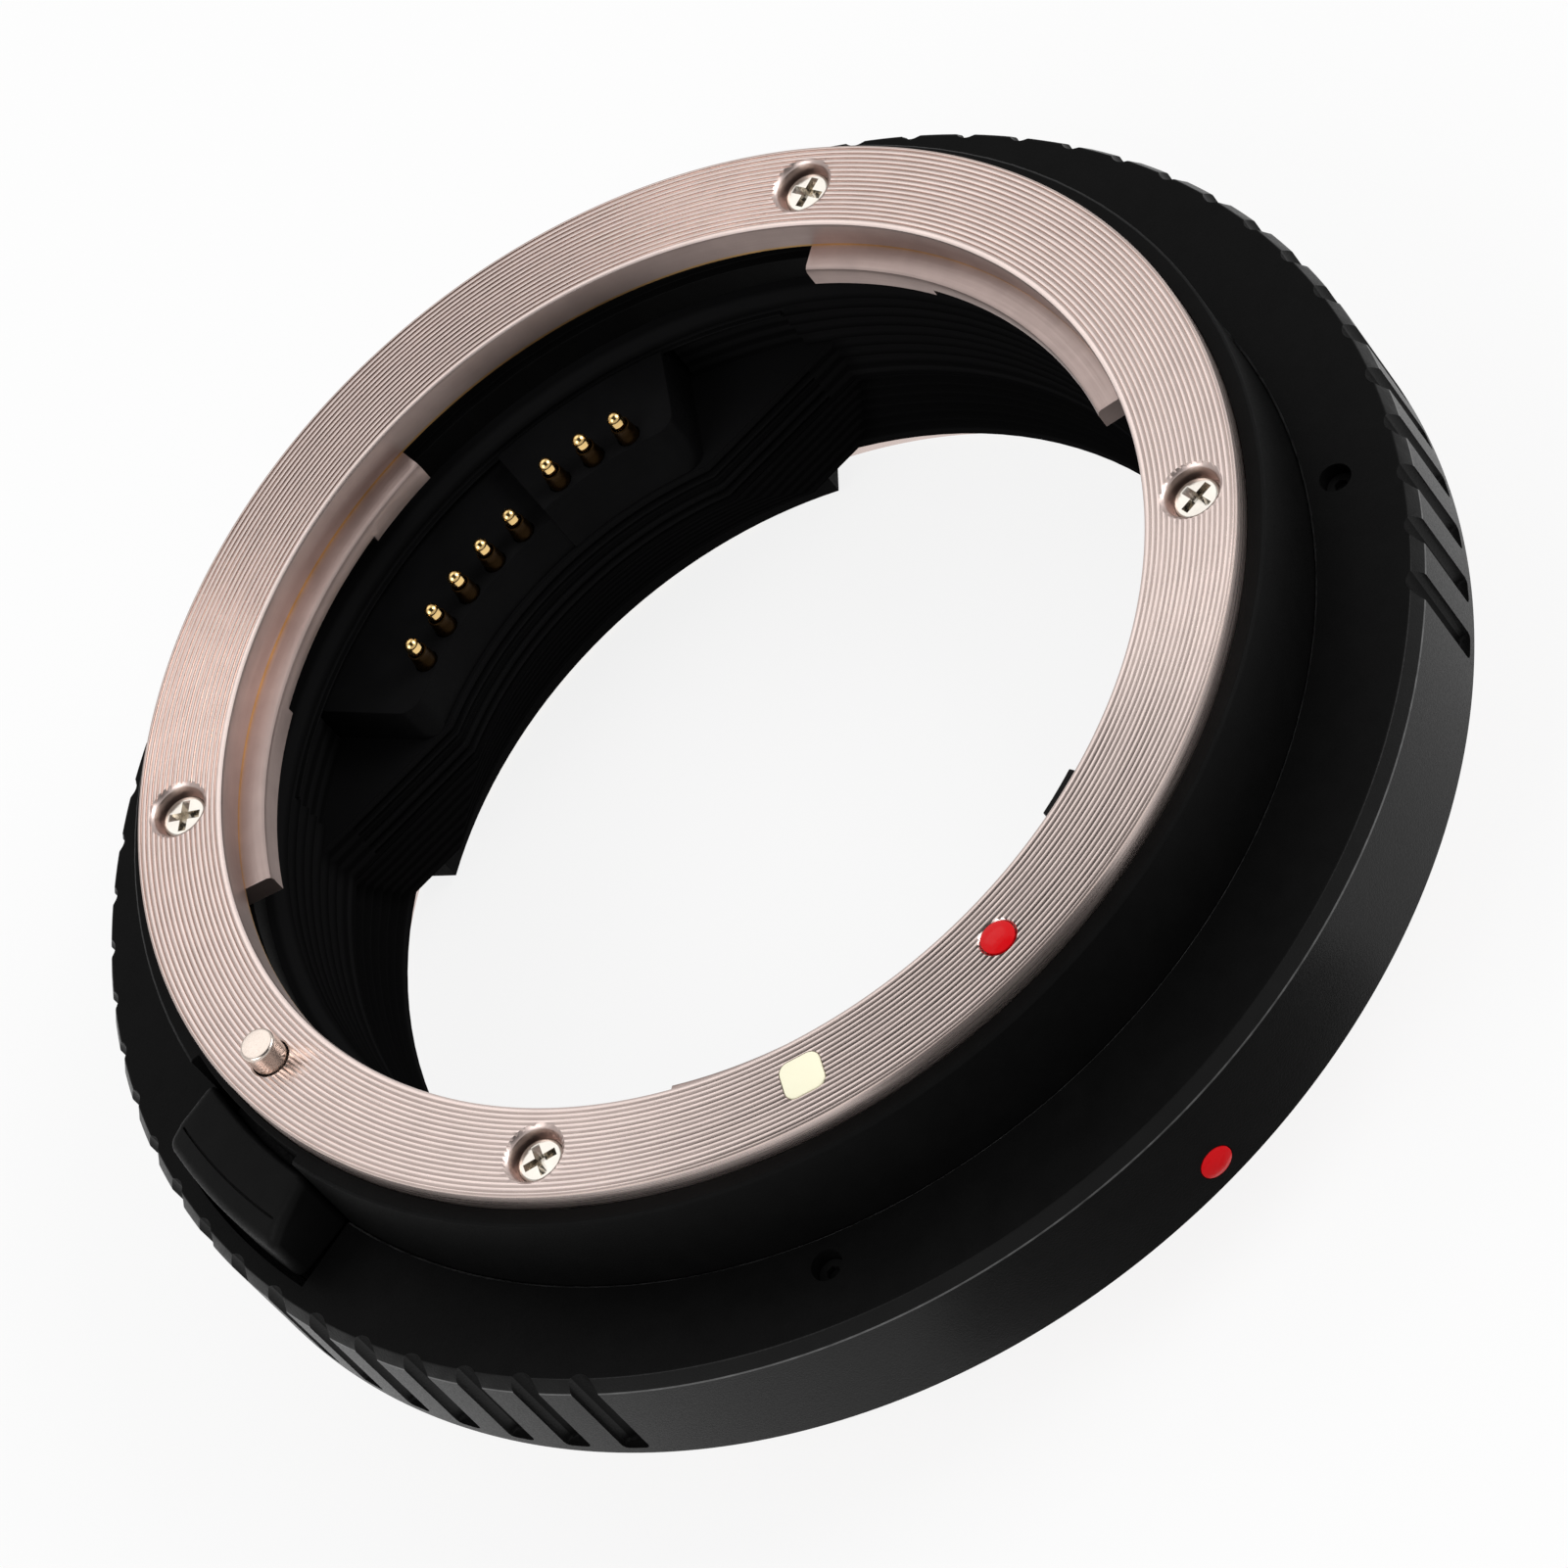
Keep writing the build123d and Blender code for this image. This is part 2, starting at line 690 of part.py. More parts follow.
# Front baffle: ribbed light path with the shelf for the contacts
with BuildPart() as front_baffle:
    turned(
        [(path_radius, seam), (baffle_radius, seam), (baffle_radius, land_bottom)]
        + [(land_radius, land_bottom)]
        + ribbed_wall(path_radius, land_bottom - path_taper, seam)
    )
    with BuildSketch(Plane.XY.offset(seam)):
        Circle(path_radius + rib_depth + slip)
        Circle(shelf_arc_radius, mode=Mode.SUBTRACT)
        with Locations((0, shelf_edge - band_radius)):
            Rectangle(2 * band_radius, 2 * band_radius, mode=Mode.SUBTRACT)
    extrude(amount=shelf_top - seam)
    # hollow under the shelf, behind its ribbed front wall
    with BuildSketch(Plane.XY.offset(seam)):
        Circle(path_radius)
        Circle(shelf_arc_radius + shelf_wall, mode=Mode.SUBTRACT)
        with Locations((0, shelf_edge + shelf_wall - band_radius)):
            Rectangle(2 * band_radius, 2 * band_radius, mode=Mode.SUBTRACT)
    extrude(amount=shelf_bottom - seam, mode=Mode.SUBTRACT)
    # way out for the contact board, and the window for the block
    slice_of_ring(
        path_radius - gap, baffle_radius + gap, seam, shelf_bottom,
        contact_board_start - 1, contact_board_end + 1, Mode.SUBTRACT,
    )
    slice_of_ring(
        path_radius - gap, path_radius + rib_depth + slip, shelf_top, window_top,
        recess_start, recess_end, Mode.SUBTRACT,
    )
    slice_of_ring(
        path_radius - gap, baffle_radius + gap, shelf_top, window_top,
        block_start - window_side_angle, block_end + window_side_angle, Mode.SUBTRACT,
    )
    rib_tops = [shelf_top - rib_margin - rib * shelf_rib_pitch for rib in range(shelf_rib_count)]
    with BuildSketch(*[Plane.XY.offset(top) for top in rib_tops]):
        Circle(shelf_arc_radius + shelf_rib_depth)
        with Locations((0, shelf_edge + shelf_rib_depth - shelf_wall)):
            Rectangle(2 * (path_radius - shelf_reach), 2 * shelf_wall)
    extrude(amount=-shelf_rib_height, mode=Mode.SUBTRACT)
    small_drilled(contact_places, sleeve_radius + slip, sleeve_bottom, shelf_top)
    small_drilled(contact_places, sleeve_tail_radius + slip, shelf_bottom, sleeve_bottom)
    small_drilled(block_screw_places, block_screw_radius + slip, shelf_bottom, shelf_top)

# Rear baffle: the light path below the seam, widening towards the camera
with BuildPart() as rear_baffle:
    with BuildSketch(Plane.XY.offset(path_end)):
        Circle(path_radius + rib_depth + slip)
        Circle(shelf_arc_radius, mode=Mode.SUBTRACT)
        with Locations((0, shelf_edge - band_radius)):
            Rectangle(2 * band_radius, 2 * band_radius, mode=Mode.SUBTRACT)
    extrude(amount=rear_top - path_end)
    with BuildSketch(Plane.YZ):
        with BuildLine():
            Polyline(
                (shelf_edge, seam), (wedge_edge, path_end), (0, path_end), (0, seam), close=True,
            )
        make_face()
    extrude(amount=path_radius, both=True, mode=Mode.SUBTRACT)
    turned(
        [(0, seam), (shelf_arc_radius, seam), (wedge_arc_radius, path_end), (0, path_end)],
        mode=Mode.SUBTRACT,
    )
    flange_top = core_rear + baffle_flange_thickness
    turned(
        [(path_radius, path_end), (rear_baffle_radius, path_end), (rear_baffle_radius, core_rear)]
        + [(baffle_flange_radius, core_rear), (baffle_flange_radius, flange_top)]
        + [(rear_baffle_radius, flange_top), (rear_baffle_radius, rear_top)]
        + ribbed_wall(path_radius, rear_top, path_end)
    )
    slice_of_ring(
        rear_baffle_radius, baffle_flange_radius + gap, core_rear, flange_top,
        chamber_start - 1, chamber_end + 1, Mode.SUBTRACT,
    )
    slice_of_ring(
        rear_baffle_radius, baffle_flange_radius + gap, core_rear, flange_top,
        release_angle - plug_notch_half_angle, release_angle + plug_notch_half_angle, Mode.SUBTRACT,
    )
    small_drilled(
        rear_block_screw_places, rear_block_screw_radius + slip,
        path_end, path_end + rear_block_screw_length,
    )

# Contact block, with its low and high steps
with BuildPart() as contact_block:
    slice_of_ring(
        contact_circle - block_setback, block_outer_radius, shelf_top, low_block_top,
        block_start, block_end,
    )
    slice_of_ring(
        contact_circle - high_setback, path_radius - high_wall_gap, shelf_top,
        low_block_top + high_rise, block_start, block_step_angle,
    )
    end_corners = edges().filter_by(Axis.Z).filter_by(
        lambda edge: math.hypot(edge.center().X, edge.center().Y) < contact_circle
        and min(
            abs(math.degrees(math.atan2(edge.center().Y, edge.center().X)) - angle)
            for angle in (block_start, block_end)
        ) < 1
    )
    fillet(end_corners, block_corner)
    small_drilled(contact_places, sleeve_radius + slip, shelf_top, low_block_top + high_rise)
    small_drilled(
        block_screw_places, block_screw_radius + slip, shelf_top, low_block_top - block_screw_cover + gap,
    )

# Sleeves of the sprung contacts, each with a crimped mouth and a thin tail to the board
with BuildPart() as contact_sleeves:
    for place, rise in contacts:
        top = low_sleeve_top + rise
        small_posts([place], sleeve_radius, sleeve_bottom, top)
        small_posts([place], sleeve_tail_radius, contact_board_bottom, sleeve_bottom)
        small_drilled([place], sleeve_bore_radius, sleeve_bottom + sleeve_floor, top - sleeve_lip)
        small_drilled([place], tip_radius + plunger_play, top - sleeve_lip, top)

# Board under the shelf, whose front edge holds the tails of the sleeves in half holes
with BuildPart() as contact_board:
    slice_of_ring(
        contact_circle, contact_board_outer, contact_board_bottom, contact_board_top,
        contact_board_start, contact_board_end,
    )
    small_drilled(contact_places, sleeve_tail_radius + slip, contact_board_bottom, contact_board_top)
    small_drilled(
        block_screw_places, block_screw_radius + slip, contact_board_bottom, contact_board_top,
    )

# Screws that hold the board, the shelf and the block together
with BuildPart() as block_screws:
    small_posts(
        block_screw_places, block_screw_head_radius,
        contact_board_bottom - block_screw_head_height, contact_board_bottom,
    )
    small_posts(
        block_screw_places, block_screw_radius,
        contact_board_bottom, low_block_top - block_screw_cover,
    )

# Control board in the chamber behind the neck
with BuildPart() as control_board:
    slice_of_ring(
        control_board_inner, control_board_outer, control_board_bottom, control_board_top,
        chamber_start + control_board_margin, chamber_end - control_board_margin,
    )
    small_drilled(
        post_places, board_screw_radius + slip, control_board_bottom, control_board_top,
    )

# Screws that hold the control board to its posts
with BuildPart() as board_screws:
    small_posts(
        post_places, board_screw_head_radius,
        control_board_bottom - board_screw_head_height, control_board_bottom,
    )
    small_posts(
        post_places, board_screw_radius,
        control_board_bottom, control_board_bottom + board_screw_length,
    )

# Chips and passive parts on the control board: angle, distance from its inner
# edge, length, width, height
board_parts = [
    (79.0, 4.2, 5.0, 3.4, 0.9),
    (109.0, 3.2, 4.0, 3.2, 0.9),
    (118.0, 3.0, 1.6, 0.8, 0.6),
    (98.0, 4.6, 1.6, 0.8, 0.6),
    (103.0, 1.2, 1.6, 0.8, 0.6),
]
with BuildPart() as board_components:
    for angle, distance, length, width, tall in board_parts:
        with BuildSketch(Plane(
            origin=polar(control_board_inner + distance, angle, control_board_top),
            x_dir=polar(1, angle + 90), z_dir=(0, 0, 1),
        )):
            Rectangle(length, width)
        extrude(amount=tall)

# Ribbon from the rim of the contact board out and down to the control board
with BuildPart() as front_flex:
    flex_start = contact_board_outer - flex_pad
    flex_bend = neck_room_radius + gap
    flex_top = contact_board_top + flex_thickness
    flex_end = flex_bend + flex_foot
    with BuildSketch(Plane.YZ):
        with BuildLine():
            Polyline(
                (flex_start, contact_board_top), (flex_start, flex_top),
                (flex_bend + flex_thickness, flex_top),
                (flex_bend + flex_thickness, control_board_top + flex_thickness),
                (flex_end, control_board_top + flex_thickness), (flex_end, control_board_top),
                (flex_bend, control_board_top), (flex_bend, contact_board_top),
                close=True,
            )
        make_face()
    extrude(amount=front_flex_half_width, both=True)

# Ribbon from the control board down to the camera side contacts
with BuildPart() as rear_flex:
    rear_flex_radius = rear_baffle_radius + flex_gap
    rear_flex_outer = rear_flex_radius + flex_thickness
    rear_flex_pad = control_board_inner + flex_foot
    rear_flex_turn = control_board_bottom - flex_thickness
    turned([
        (rear_flex_radius, rear_block_lift + flex_pad),
        (rear_flex_outer, rear_block_lift + flex_pad),
        (rear_flex_outer, rear_flex_turn),
        (rear_flex_pad, rear_flex_turn),
        (rear_flex_pad, control_board_bottom),
        (rear_flex_radius, control_board_bottom),
    ], rear_flex_start, rear_flex_end)

# Camera side mounting ring: flange, bayonet wall and three claws
with BuildPart() as rear_mount_ring:
    turned([
        (rear_bore_radius, 0),
        (rear_wall_radius, 0),
        (rear_wall_radius, camera_face),
        (rear_flange_radius, camera_face),
        (rear_flange_radius, core_rear),
        (rear_bore_radius, core_rear),
    ])
    rear_claw_top = rear_claw_lift + rear_claw_thickness
    for centre in rear_claw_angles:
        turned([
            (rear_wall_radius - rear_claw_root, rear_claw_lift),
            (rear_claw_radius - claw_edge, rear_claw_lift),
            (rear_claw_radius, rear_claw_lift + claw_edge),
            (rear_claw_radius, rear_claw_top),
            (rear_wall_radius - rear_claw_root, rear_claw_top),
        ], centre - rear_claw_span / 2, centre + rear_claw_span / 2)
    small_drilled(rear_screw_places, rear_screw_shank_radius + slip, camera_face, core_rear)
    with BuildSketch(Plane.XY.offset(camera_face)):
        with Locations(*[(x, y) for x, y, z in rear_screw_places]):
            RegularPolygon(rear_screw_head_radius + seat, head_sides, major_radius=False)
    extrude(amount=rear_screw_head_height, taper=countersink_taper, mode=Mode.SUBTRACT)
    drilled(
        [polar(rear_screw_circle, lock_hole_angle)], lock_hole_radius, camera_face, core_rear,
    )

# Countersunk screws of the camera side ring
with BuildPart() as rear_mount_screws:
    rear_head_face = camera_face + slip
    with BuildSketch(Plane.XY.offset(rear_head_face)):
        with Locations(*[(x, y) for x, y, z in rear_screw_places]):
            RegularPolygon(rear_screw_head_radius, head_sides)
    extrude(amount=rear_screw_head_height, taper=countersink_taper)
    small_posts(
        rear_screw_places, rear_screw_shank_radius, rear_head_face + rear_screw_head_height,
        camera_face + rear_screw_length,
    )
    with BuildSketch(Plane.XY.offset(rear_head_face)):
        for turn, place in enumerate(rear_screw_places):
            with Locations(Location(place, (0, 0, cross_turn + cross_step * turn))):
                Rectangle(cross_span, cross_width)
                Rectangle(cross_width, cross_span)
    extrude(amount=cross_depth, mode=Mode.SUBTRACT)

# Camera side contact block and its flat pads
with BuildPart() as rear_contact_block:
    slice_of_ring(
        rear_block_radius, rear_baffle_radius - slip, rear_block_lift, path_end - slip,
        90 - rear_block_half_angle, 90 + rear_block_half_angle,
    )
    rear_head_top = rear_block_lift + rear_block_screw_head_height
    small_drilled(rear_block_screw_places, rear_block_screw_radius + slip, rear_head_top, path_end)
    small_drilled(
        rear_block_screw_places, rear_block_screw_head_radius + slip, rear_block_lift, rear_head_top,
    )

with BuildPart() as rear_contact_pads:
    for pad in range(pad_count):
        pad_angle = 90 + (pad - (pad_count - 1) / 2) * pad_pitch
        with BuildSketch(Plane(
            origin=polar(pad_circle, pad_angle, rear_block_lift - pad_thickness),
            x_dir=polar(1, pad_angle + 90), z_dir=(0, 0, 1),
        )):
            Rectangle(pad_length, pad_width)
        extrude(amount=pad_thickness)

with BuildPart() as rear_block_screws:
    small_posts(
        rear_block_screw_places, rear_block_screw_head_radius, rear_block_lift, rear_head_top,
    )
    small_posts(
        rear_block_screw_places, rear_block_screw_radius,
        rear_head_top, rear_block_lift + rear_block_screw_length,
    )

# Contact plungers, each with a wider base that its sleeve's mouth holds back,
# and the closed coil under each, drawn as its outer form
plungers = []
coils = []
for place, rise in contacts:
    tip = low_tip + rise
    base_top = low_sleeve_top + rise - sleeve_lip - plunger_play
    base_bottom = base_top - plunger_base_length
    with BuildPart() as plunger:
        small_posts([place], plunger_base_radius, base_bottom, base_top)
        small_posts([place], tip_radius, base_top, tip - tip_height)
        with BuildSketch(Plane.XY.offset(tip - tip_height)):
            with Locations(place[:2]):
                RegularPolygon(tip_radius, small_sides)
        extrude(amount=tip_height, taper=tip_taper)
    plungers.append(plunger.part)
    with BuildPart() as contact_coil:
        with BuildSketch(Plane.XY.offset(sleeve_bottom + sleeve_floor)):
            with Locations(place[:2]):
                RegularPolygon(contact_spring_radius, small_sides)
                RegularPolygon(contact_spring_bore, small_sides, mode=Mode.SUBTRACT)
        extrude(amount=base_bottom - sleeve_bottom - sleeve_floor)
    coils.append(contact_coil.part)

pieces = {
    "lens_mount_ring": lens_mount_ring.part,
    "lens_mount_screws": lens_mount_screws.part,
    "flange_index_dot": flange_index_dot.part,
    "flange_index_mark": flange_index_mark.part,
    "leaf_springs": leaf_springs.part,
    "rotation_stop": rotation_stop.part,
    "neck_housing": neck_housing.part,
    "grip_body": grip_body.part,
    "band_index_dot": band_index_dot.part,
    "shoulder_screws": shoulder_screws.part,
    "release_button": release_button.part,
    "lock_pin": lock_pin.part,
    "release_spring": release_spring.part,
    "spring_plug": spring_plug.part,
    "front_baffle": front_baffle.part,
    "rear_baffle": rear_baffle.part,
    "contact_block": contact_block.part,
    "contact_sleeves": contact_sleeves.part,
    "contact_board": contact_board.part,
    "block_screws": block_screws.part,
    "control_board": control_board.part,
    "board_screws": board_screws.part,
    "board_components": board_components.part,
    "front_flex": front_flex.part,
    "rear_flex": rear_flex.part,
    "rear_mount_ring": rear_mount_ring.part,
    "rear_mount_screws": rear_mount_screws.part,
    "rear_contact_block": rear_contact_block.part,
    "rear_contact_pads": rear_contact_pads.part,
    "rear_block_screws": rear_block_screws.part,
}
for number, (plunger_part, coil_part) in enumerate(zip(plungers, coils), start=1):
    pieces[f"contact_plunger_{number}"] = plunger_part
    pieces[f"contact_spring_{number}"] = coil_part

os.makedirs("parts", exist_ok=True)
for name, piece in pieces.items():
    piece.label = name
    export_step(piece, f"parts/{name}.step")
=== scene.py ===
"""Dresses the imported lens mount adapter: finishes, fine edges, turned grooves, studio and camera."""

import json
import logging
import math
from dataclasses import dataclass, field
from enum import Enum, IntEnum

import bmesh
import bpy
from mathutils import Matrix, Vector


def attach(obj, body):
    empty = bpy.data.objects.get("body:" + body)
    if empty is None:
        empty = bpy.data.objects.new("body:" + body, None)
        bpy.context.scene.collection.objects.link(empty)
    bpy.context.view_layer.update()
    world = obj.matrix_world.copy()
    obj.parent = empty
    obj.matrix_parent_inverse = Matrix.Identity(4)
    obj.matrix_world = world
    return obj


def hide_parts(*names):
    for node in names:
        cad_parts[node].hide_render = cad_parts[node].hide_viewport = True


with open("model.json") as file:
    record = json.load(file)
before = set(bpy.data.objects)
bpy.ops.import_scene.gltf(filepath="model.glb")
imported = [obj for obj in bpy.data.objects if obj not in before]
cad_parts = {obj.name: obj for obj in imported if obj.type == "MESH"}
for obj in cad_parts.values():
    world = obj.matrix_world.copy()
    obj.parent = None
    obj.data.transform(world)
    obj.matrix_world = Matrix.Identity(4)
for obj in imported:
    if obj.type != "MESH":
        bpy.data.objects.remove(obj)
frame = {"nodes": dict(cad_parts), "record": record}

MM = 0.001
log = logging.getLogger("adapter")

# Angles above which an edge stays sharp or is bevelled, and below which faces are one
SMOOTH_ANGLE = math.radians(32)
BEVEL_ANGLE = math.radians(35)
FLAT_ANGLE = math.radians(0.4)

# Distances within which points are one, in metres
JOIN_DISTANCE = 0.002 * MM
SEAM_DISTANCE = 0.0002 * MM
SLIVER = 1e-7

# Where the middle point of a rounded edge stands, as a share of its width
ROUND_SHARE = 0.3

# The part of a noise's range that is used, and the grain's measures as shares of its size
NOISE_RANGE = (0.3, 0.7)
BROAD_GRAIN = 14
GRAIN_HEIGHT = 0.3
LATHE_LINE_TURNS = 4.0
COAT_ROUGHNESS = 0.04

Outline = list[tuple[float, float]]
Place = tuple[float, float]


class Grain(Enum):
    """What the surface of a finish looks like from close by."""

    BLASTED = "blasted"
    TURNED = "turned"
    MOULDED = "moulded"
    LACQUER = "lacquer"
    # Colour, bump and roughness follow a wave on height at the rib pitch; as colour it is painted shade and
    # light along the ribs
    RIB_SHADED = "ribbed"


@dataclass(frozen=True)
class Finish:
    """One surface finish, from which a node material is made."""

    name: str
    colour: tuple[float, float, float]
    metallic: float = 0.0
    roughness: float = 0.5
    specular: float = 0.5
    coat: float = 0.0
    grain: Grain = Grain.BLASTED
    grain_size: float = 0.25
    grain_depth: float = 0.1
    mottle: float = 0.12
    rough_spread: float = 0.06
    streak: float = 0.0

    def material(self) -> bpy.types.Material:
        """Makes the node material, or returns the one that is made already.

        Returns:
            The material of this finish.
        """
        made = bpy.data.materials.get(self.name)
        if made:
            return made
        made = bpy.data.materials.new(self.name)
        made.use_nodes = True
        tree = made.node_tree
        shader = tree.nodes["Principled BSDF"]
        shader.inputs["Metallic"].default_value = self.metallic
        shader.inputs["Specular IOR Level"].default_value = self.specular
        shader.inputs["Coat Weight"].default_value = self.coat
        shader.inputs["Coat Roughness"].default_value = COAT_ROUGHNESS
        place = tree.nodes.new("ShaderNodeTexCoord").outputs["Object"]
        fine = self.pattern(tree, place)
        broad = tree.nodes.new("ShaderNodeTexNoise")
        broad.inputs["Scale"].default_value = 1 / (self.grain_size * BROAD_GRAIN * MM)
        broad.inputs["Detail"].default_value = 3
        tree.links.new(place, broad.inputs["Vector"])
        ramp = tree.nodes.new("ShaderNodeValToRGB")
        shares = (1 - self.mottle, 1 + self.mottle)
        for element, position, share in zip(ramp.color_ramp.elements, NOISE_RANGE, shares):
            element.position = position
            element.color = (*[min(1.0, c * share) for c in self.colour], 1)
        # Rib-shaded finishes take their colour from the rib wave, painted shade and light along the ribs;
        # the others from a broad noise
        ribbed = self.grain is Grain.RIB_SHADED
        tree.links.new(fine if ribbed else broad.outputs["Fac"], ramp.inputs["Fac"])
        tree.links.new(ramp.outputs["Color"], shader.inputs["Base Color"])
        span = tree.nodes.new("ShaderNodeMapRange")
        span.inputs["From Min"].default_value = NOISE_RANGE[0]
        span.inputs["From Max"].default_value = NOISE_RANGE[1]
        span.inputs["To Min"].default_value = self.roughness - self.rough_spread
        span.inputs["To Max"].default_value = self.roughness + self.rough_spread
        tree.links.new(fine, span.inputs["Value"])
        tree.links.new(span.outputs["Result"], shader.inputs["Roughness"])
        bump = tree.nodes.new("ShaderNodeBump")
        bump.inputs["Strength"].default_value = self.grain_depth
        bump.inputs["Distance"].default_value = self.grain_size * GRAIN_HEIGHT * MM
        tree.links.new(fine, bump.inputs["Height"])
        tree.links.new(bump.outputs["Normal"], shader.inputs["Normal"])
        if self.streak:
            shader.inputs["Anisotropic"].default_value = self.streak
            shader.inputs["Anisotropic Rotation"].default_value = 0.25
            tree.links.new(self.around(tree, place)[0], shader.inputs["Tangent"])
        return made

    def around(
        self, tree: bpy.types.NodeTree, place: bpy.types.NodeSocket
    ) -> tuple[bpy.types.NodeSocket, bpy.types.NodeSocket, bpy.types.NodeSocket]:
        """Adds nodes for the place of a point round the optical axis.

        Args:
            tree: The node tree of the material.
            place: The socket with the Object coordinates.

        Returns:
            Sockets with the direction round the axis, the distance from it and the turn round it.
        """
        flat = tree.nodes.new("ShaderNodeVectorMath")
        flat.operation = "MULTIPLY"
        flat.inputs[1].default_value = (1, 1, 0)
        tree.links.new(place, flat.inputs[0])
        unit = tree.nodes.new("ShaderNodeVectorMath")
        unit.operation = "CROSS_PRODUCT"
        unit.inputs[0].default_value = (0, 0, 1)
        tree.links.new(flat.outputs["Vector"], unit.inputs[1])
        reach = tree.nodes.new("ShaderNodeVectorMath")
        reach.operation = "LENGTH"
        tree.links.new(flat.outputs["Vector"], reach.inputs[0])
        parts = tree.nodes.new("ShaderNodeSeparateXYZ")
        tree.links.new(place, parts.inputs["Vector"])
        turn = tree.nodes.new("ShaderNodeMath")
        turn.operation = "ARCTAN2"
        tree.links.new(parts.outputs["Y"], turn.inputs[0])
        tree.links.new(parts.outputs["X"], turn.inputs[1])
        return unit.outputs["Vector"], reach.outputs["Value"], turn.outputs["Value"]

    def pattern(self, tree: bpy.types.NodeTree, place: bpy.types.NodeSocket) -> bpy.types.NodeSocket:
        """Adds the nodes of the fine grain.

        Args:
            tree: The node tree of the material.
            place: The socket with the Object coordinates.

        Returns:
            The socket with the height of the grain, from 0 to 1.
        """
        # A triangle wave on height at the rib pitch; as colour it paints shade and light along the ribs
        if self.grain is Grain.RIB_SHADED:
            parts = tree.nodes.new("ShaderNodeSeparateXYZ")
            tree.links.new(place, parts.inputs["Vector"])
            rib = tree.nodes.new("ShaderNodeMath")
            rib.operation = "PINGPONG"
            rib.inputs[1].default_value = self.grain_size / 2 * MM
            tree.links.new(parts.outputs["Z"], rib.inputs[0])
            share = tree.nodes.new("ShaderNodeMath")
            share.operation = "MULTIPLY"
            share.inputs[1].default_value = 2 / (self.grain_size * MM)
            tree.links.new(rib.outputs["Value"], share.inputs[0])
            return share.outputs["Value"]
        if self.grain is Grain.MOULDED:
            cells = tree.nodes.new("ShaderNodeTexVoronoi")
            cells.feature = "SMOOTH_F1"
            cells.inputs["Scale"].default_value = 1 / (self.grain_size * MM)
            tree.links.new(place, cells.inputs["Vector"])
            return cells.outputs["Distance"]
        noise = tree.nodes.new("ShaderNodeTexNoise")
        noise.inputs["Detail"].default_value = 4 if self.grain is Grain.BLASTED else 1
        if self.grain is not Grain.TURNED:
            noise.inputs["Scale"].default_value = 1 / (self.grain_size * MM)
            tree.links.new(place, noise.inputs["Vector"])
            return noise.outputs["Fac"]
        reach, turn = self.around(tree, place)[1:]
        height = tree.nodes.new("ShaderNodeSeparateXYZ")
        tree.links.new(place, height.inputs["Vector"])
        row = tree.nodes.new("ShaderNodeCombineXYZ")
        tree.links.new(reach, row.inputs["X"])
        tree.links.new(height.outputs["Z"], row.inputs["Y"])
        tree.links.new(turn, row.inputs["Z"])
        stretch = tree.nodes.new("ShaderNodeVectorMath")
        stretch.operation = "MULTIPLY"
        lines = 1 / (self.grain_size * MM)
        stretch.inputs[1].default_value = (lines, lines, LATHE_LINE_TURNS)
        tree.links.new(row.outputs["Vector"], stretch.inputs[0])
        noise.inputs["Scale"].default_value = 1.0
        tree.links.new(stretch.outputs["Vector"], noise.inputs["Vector"])
        return noise.outputs["Fac"]


CHAMPAGNE_PLATING = Finish(
    "champagne_plating", (0.72, 0.60, 0.56), 1.0, 0.28, grain=Grain.TURNED, grain_size=0.10,
    grain_depth=0.10, mottle=0.03, rough_spread=0.04, streak=0.6,
)
# Rougher plating for the throat wall and the claws' inner faces; its darker colour is painted shade in the
# throat
SHADED_WALL_PLATING = Finish(
    "shaded_wall_plating", (0.42, 0.33, 0.305), 1.0, 0.42, grain=Grain.TURNED, grain_size=0.12,
    grain_depth=0.10, mottle=0.06, rough_spread=0.04,
)
# Darker plating for the groove walls: painted shade in the turned grooves
GROOVE_SHADE_PLATING = Finish(
    "groove_shade_plating", (0.67, 0.545, 0.50), 1.0, 0.27, grain=Grain.TURNED, grain_size=0.12,
    grain_depth=0.10, mottle=0.05, rough_spread=0.04, streak=0.2,
)
BORE_PLATING = Finish(
    "bore_plating", (0.60, 0.49, 0.455), 1.0, 0.36, grain_size=0.12, grain_depth=0.05, mottle=0.05,
)
BARE_BRASS = Finish(
    "bare_brass", (0.52, 0.31, 0.12), 1.0, 0.38, grain_size=0.12, grain_depth=0.05, mottle=0.12,
)
BRIGHT_NICKEL = Finish(
    "bright_nickel", (0.70, 0.66, 0.60), 1.0, 0.14, grain_size=0.15, grain_depth=0.05, mottle=0.08,
)
TURNED_STEEL = Finish(
    "turned_steel", (0.74, 0.64, 0.57), 1.0, 0.26, grain_size=0.1, grain_depth=0.05, mottle=0.04,
)
SPRING_STEEL = Finish("spring_steel", (0.45, 0.44, 0.42), 1.0, 0.3, grain_size=0.1, mottle=0.1)
BLASTED_BLACK = Finish(
    "blasted_black", (0.003, 0.003, 0.003), 0.0, 0.5, 0.05, grain_size=0.10, grain_depth=0.35,
)
BAND_BLACK = Finish(
    "band_black", (0.004, 0.004, 0.004), 0.0, 0.36, 0.13, grain_size=0.12, grain_depth=0.4,
)
# Lighter, speckled black for thin strips along the band's top edge and round the neck hole: a painted glint
# along these edges
GLINT_EDGE_BLACK = Finish(
    "glint_edge_black", (0.05, 0.05, 0.05), 0.0, 0.35, 0.6, grain_size=0.06, grain_depth=0.3, mottle=0.6,
)
BLACK_OXIDE = Finish("black_oxide", (0.004, 0.004, 0.004), 0.0, 0.45, 0.08, grain_size=0.1)
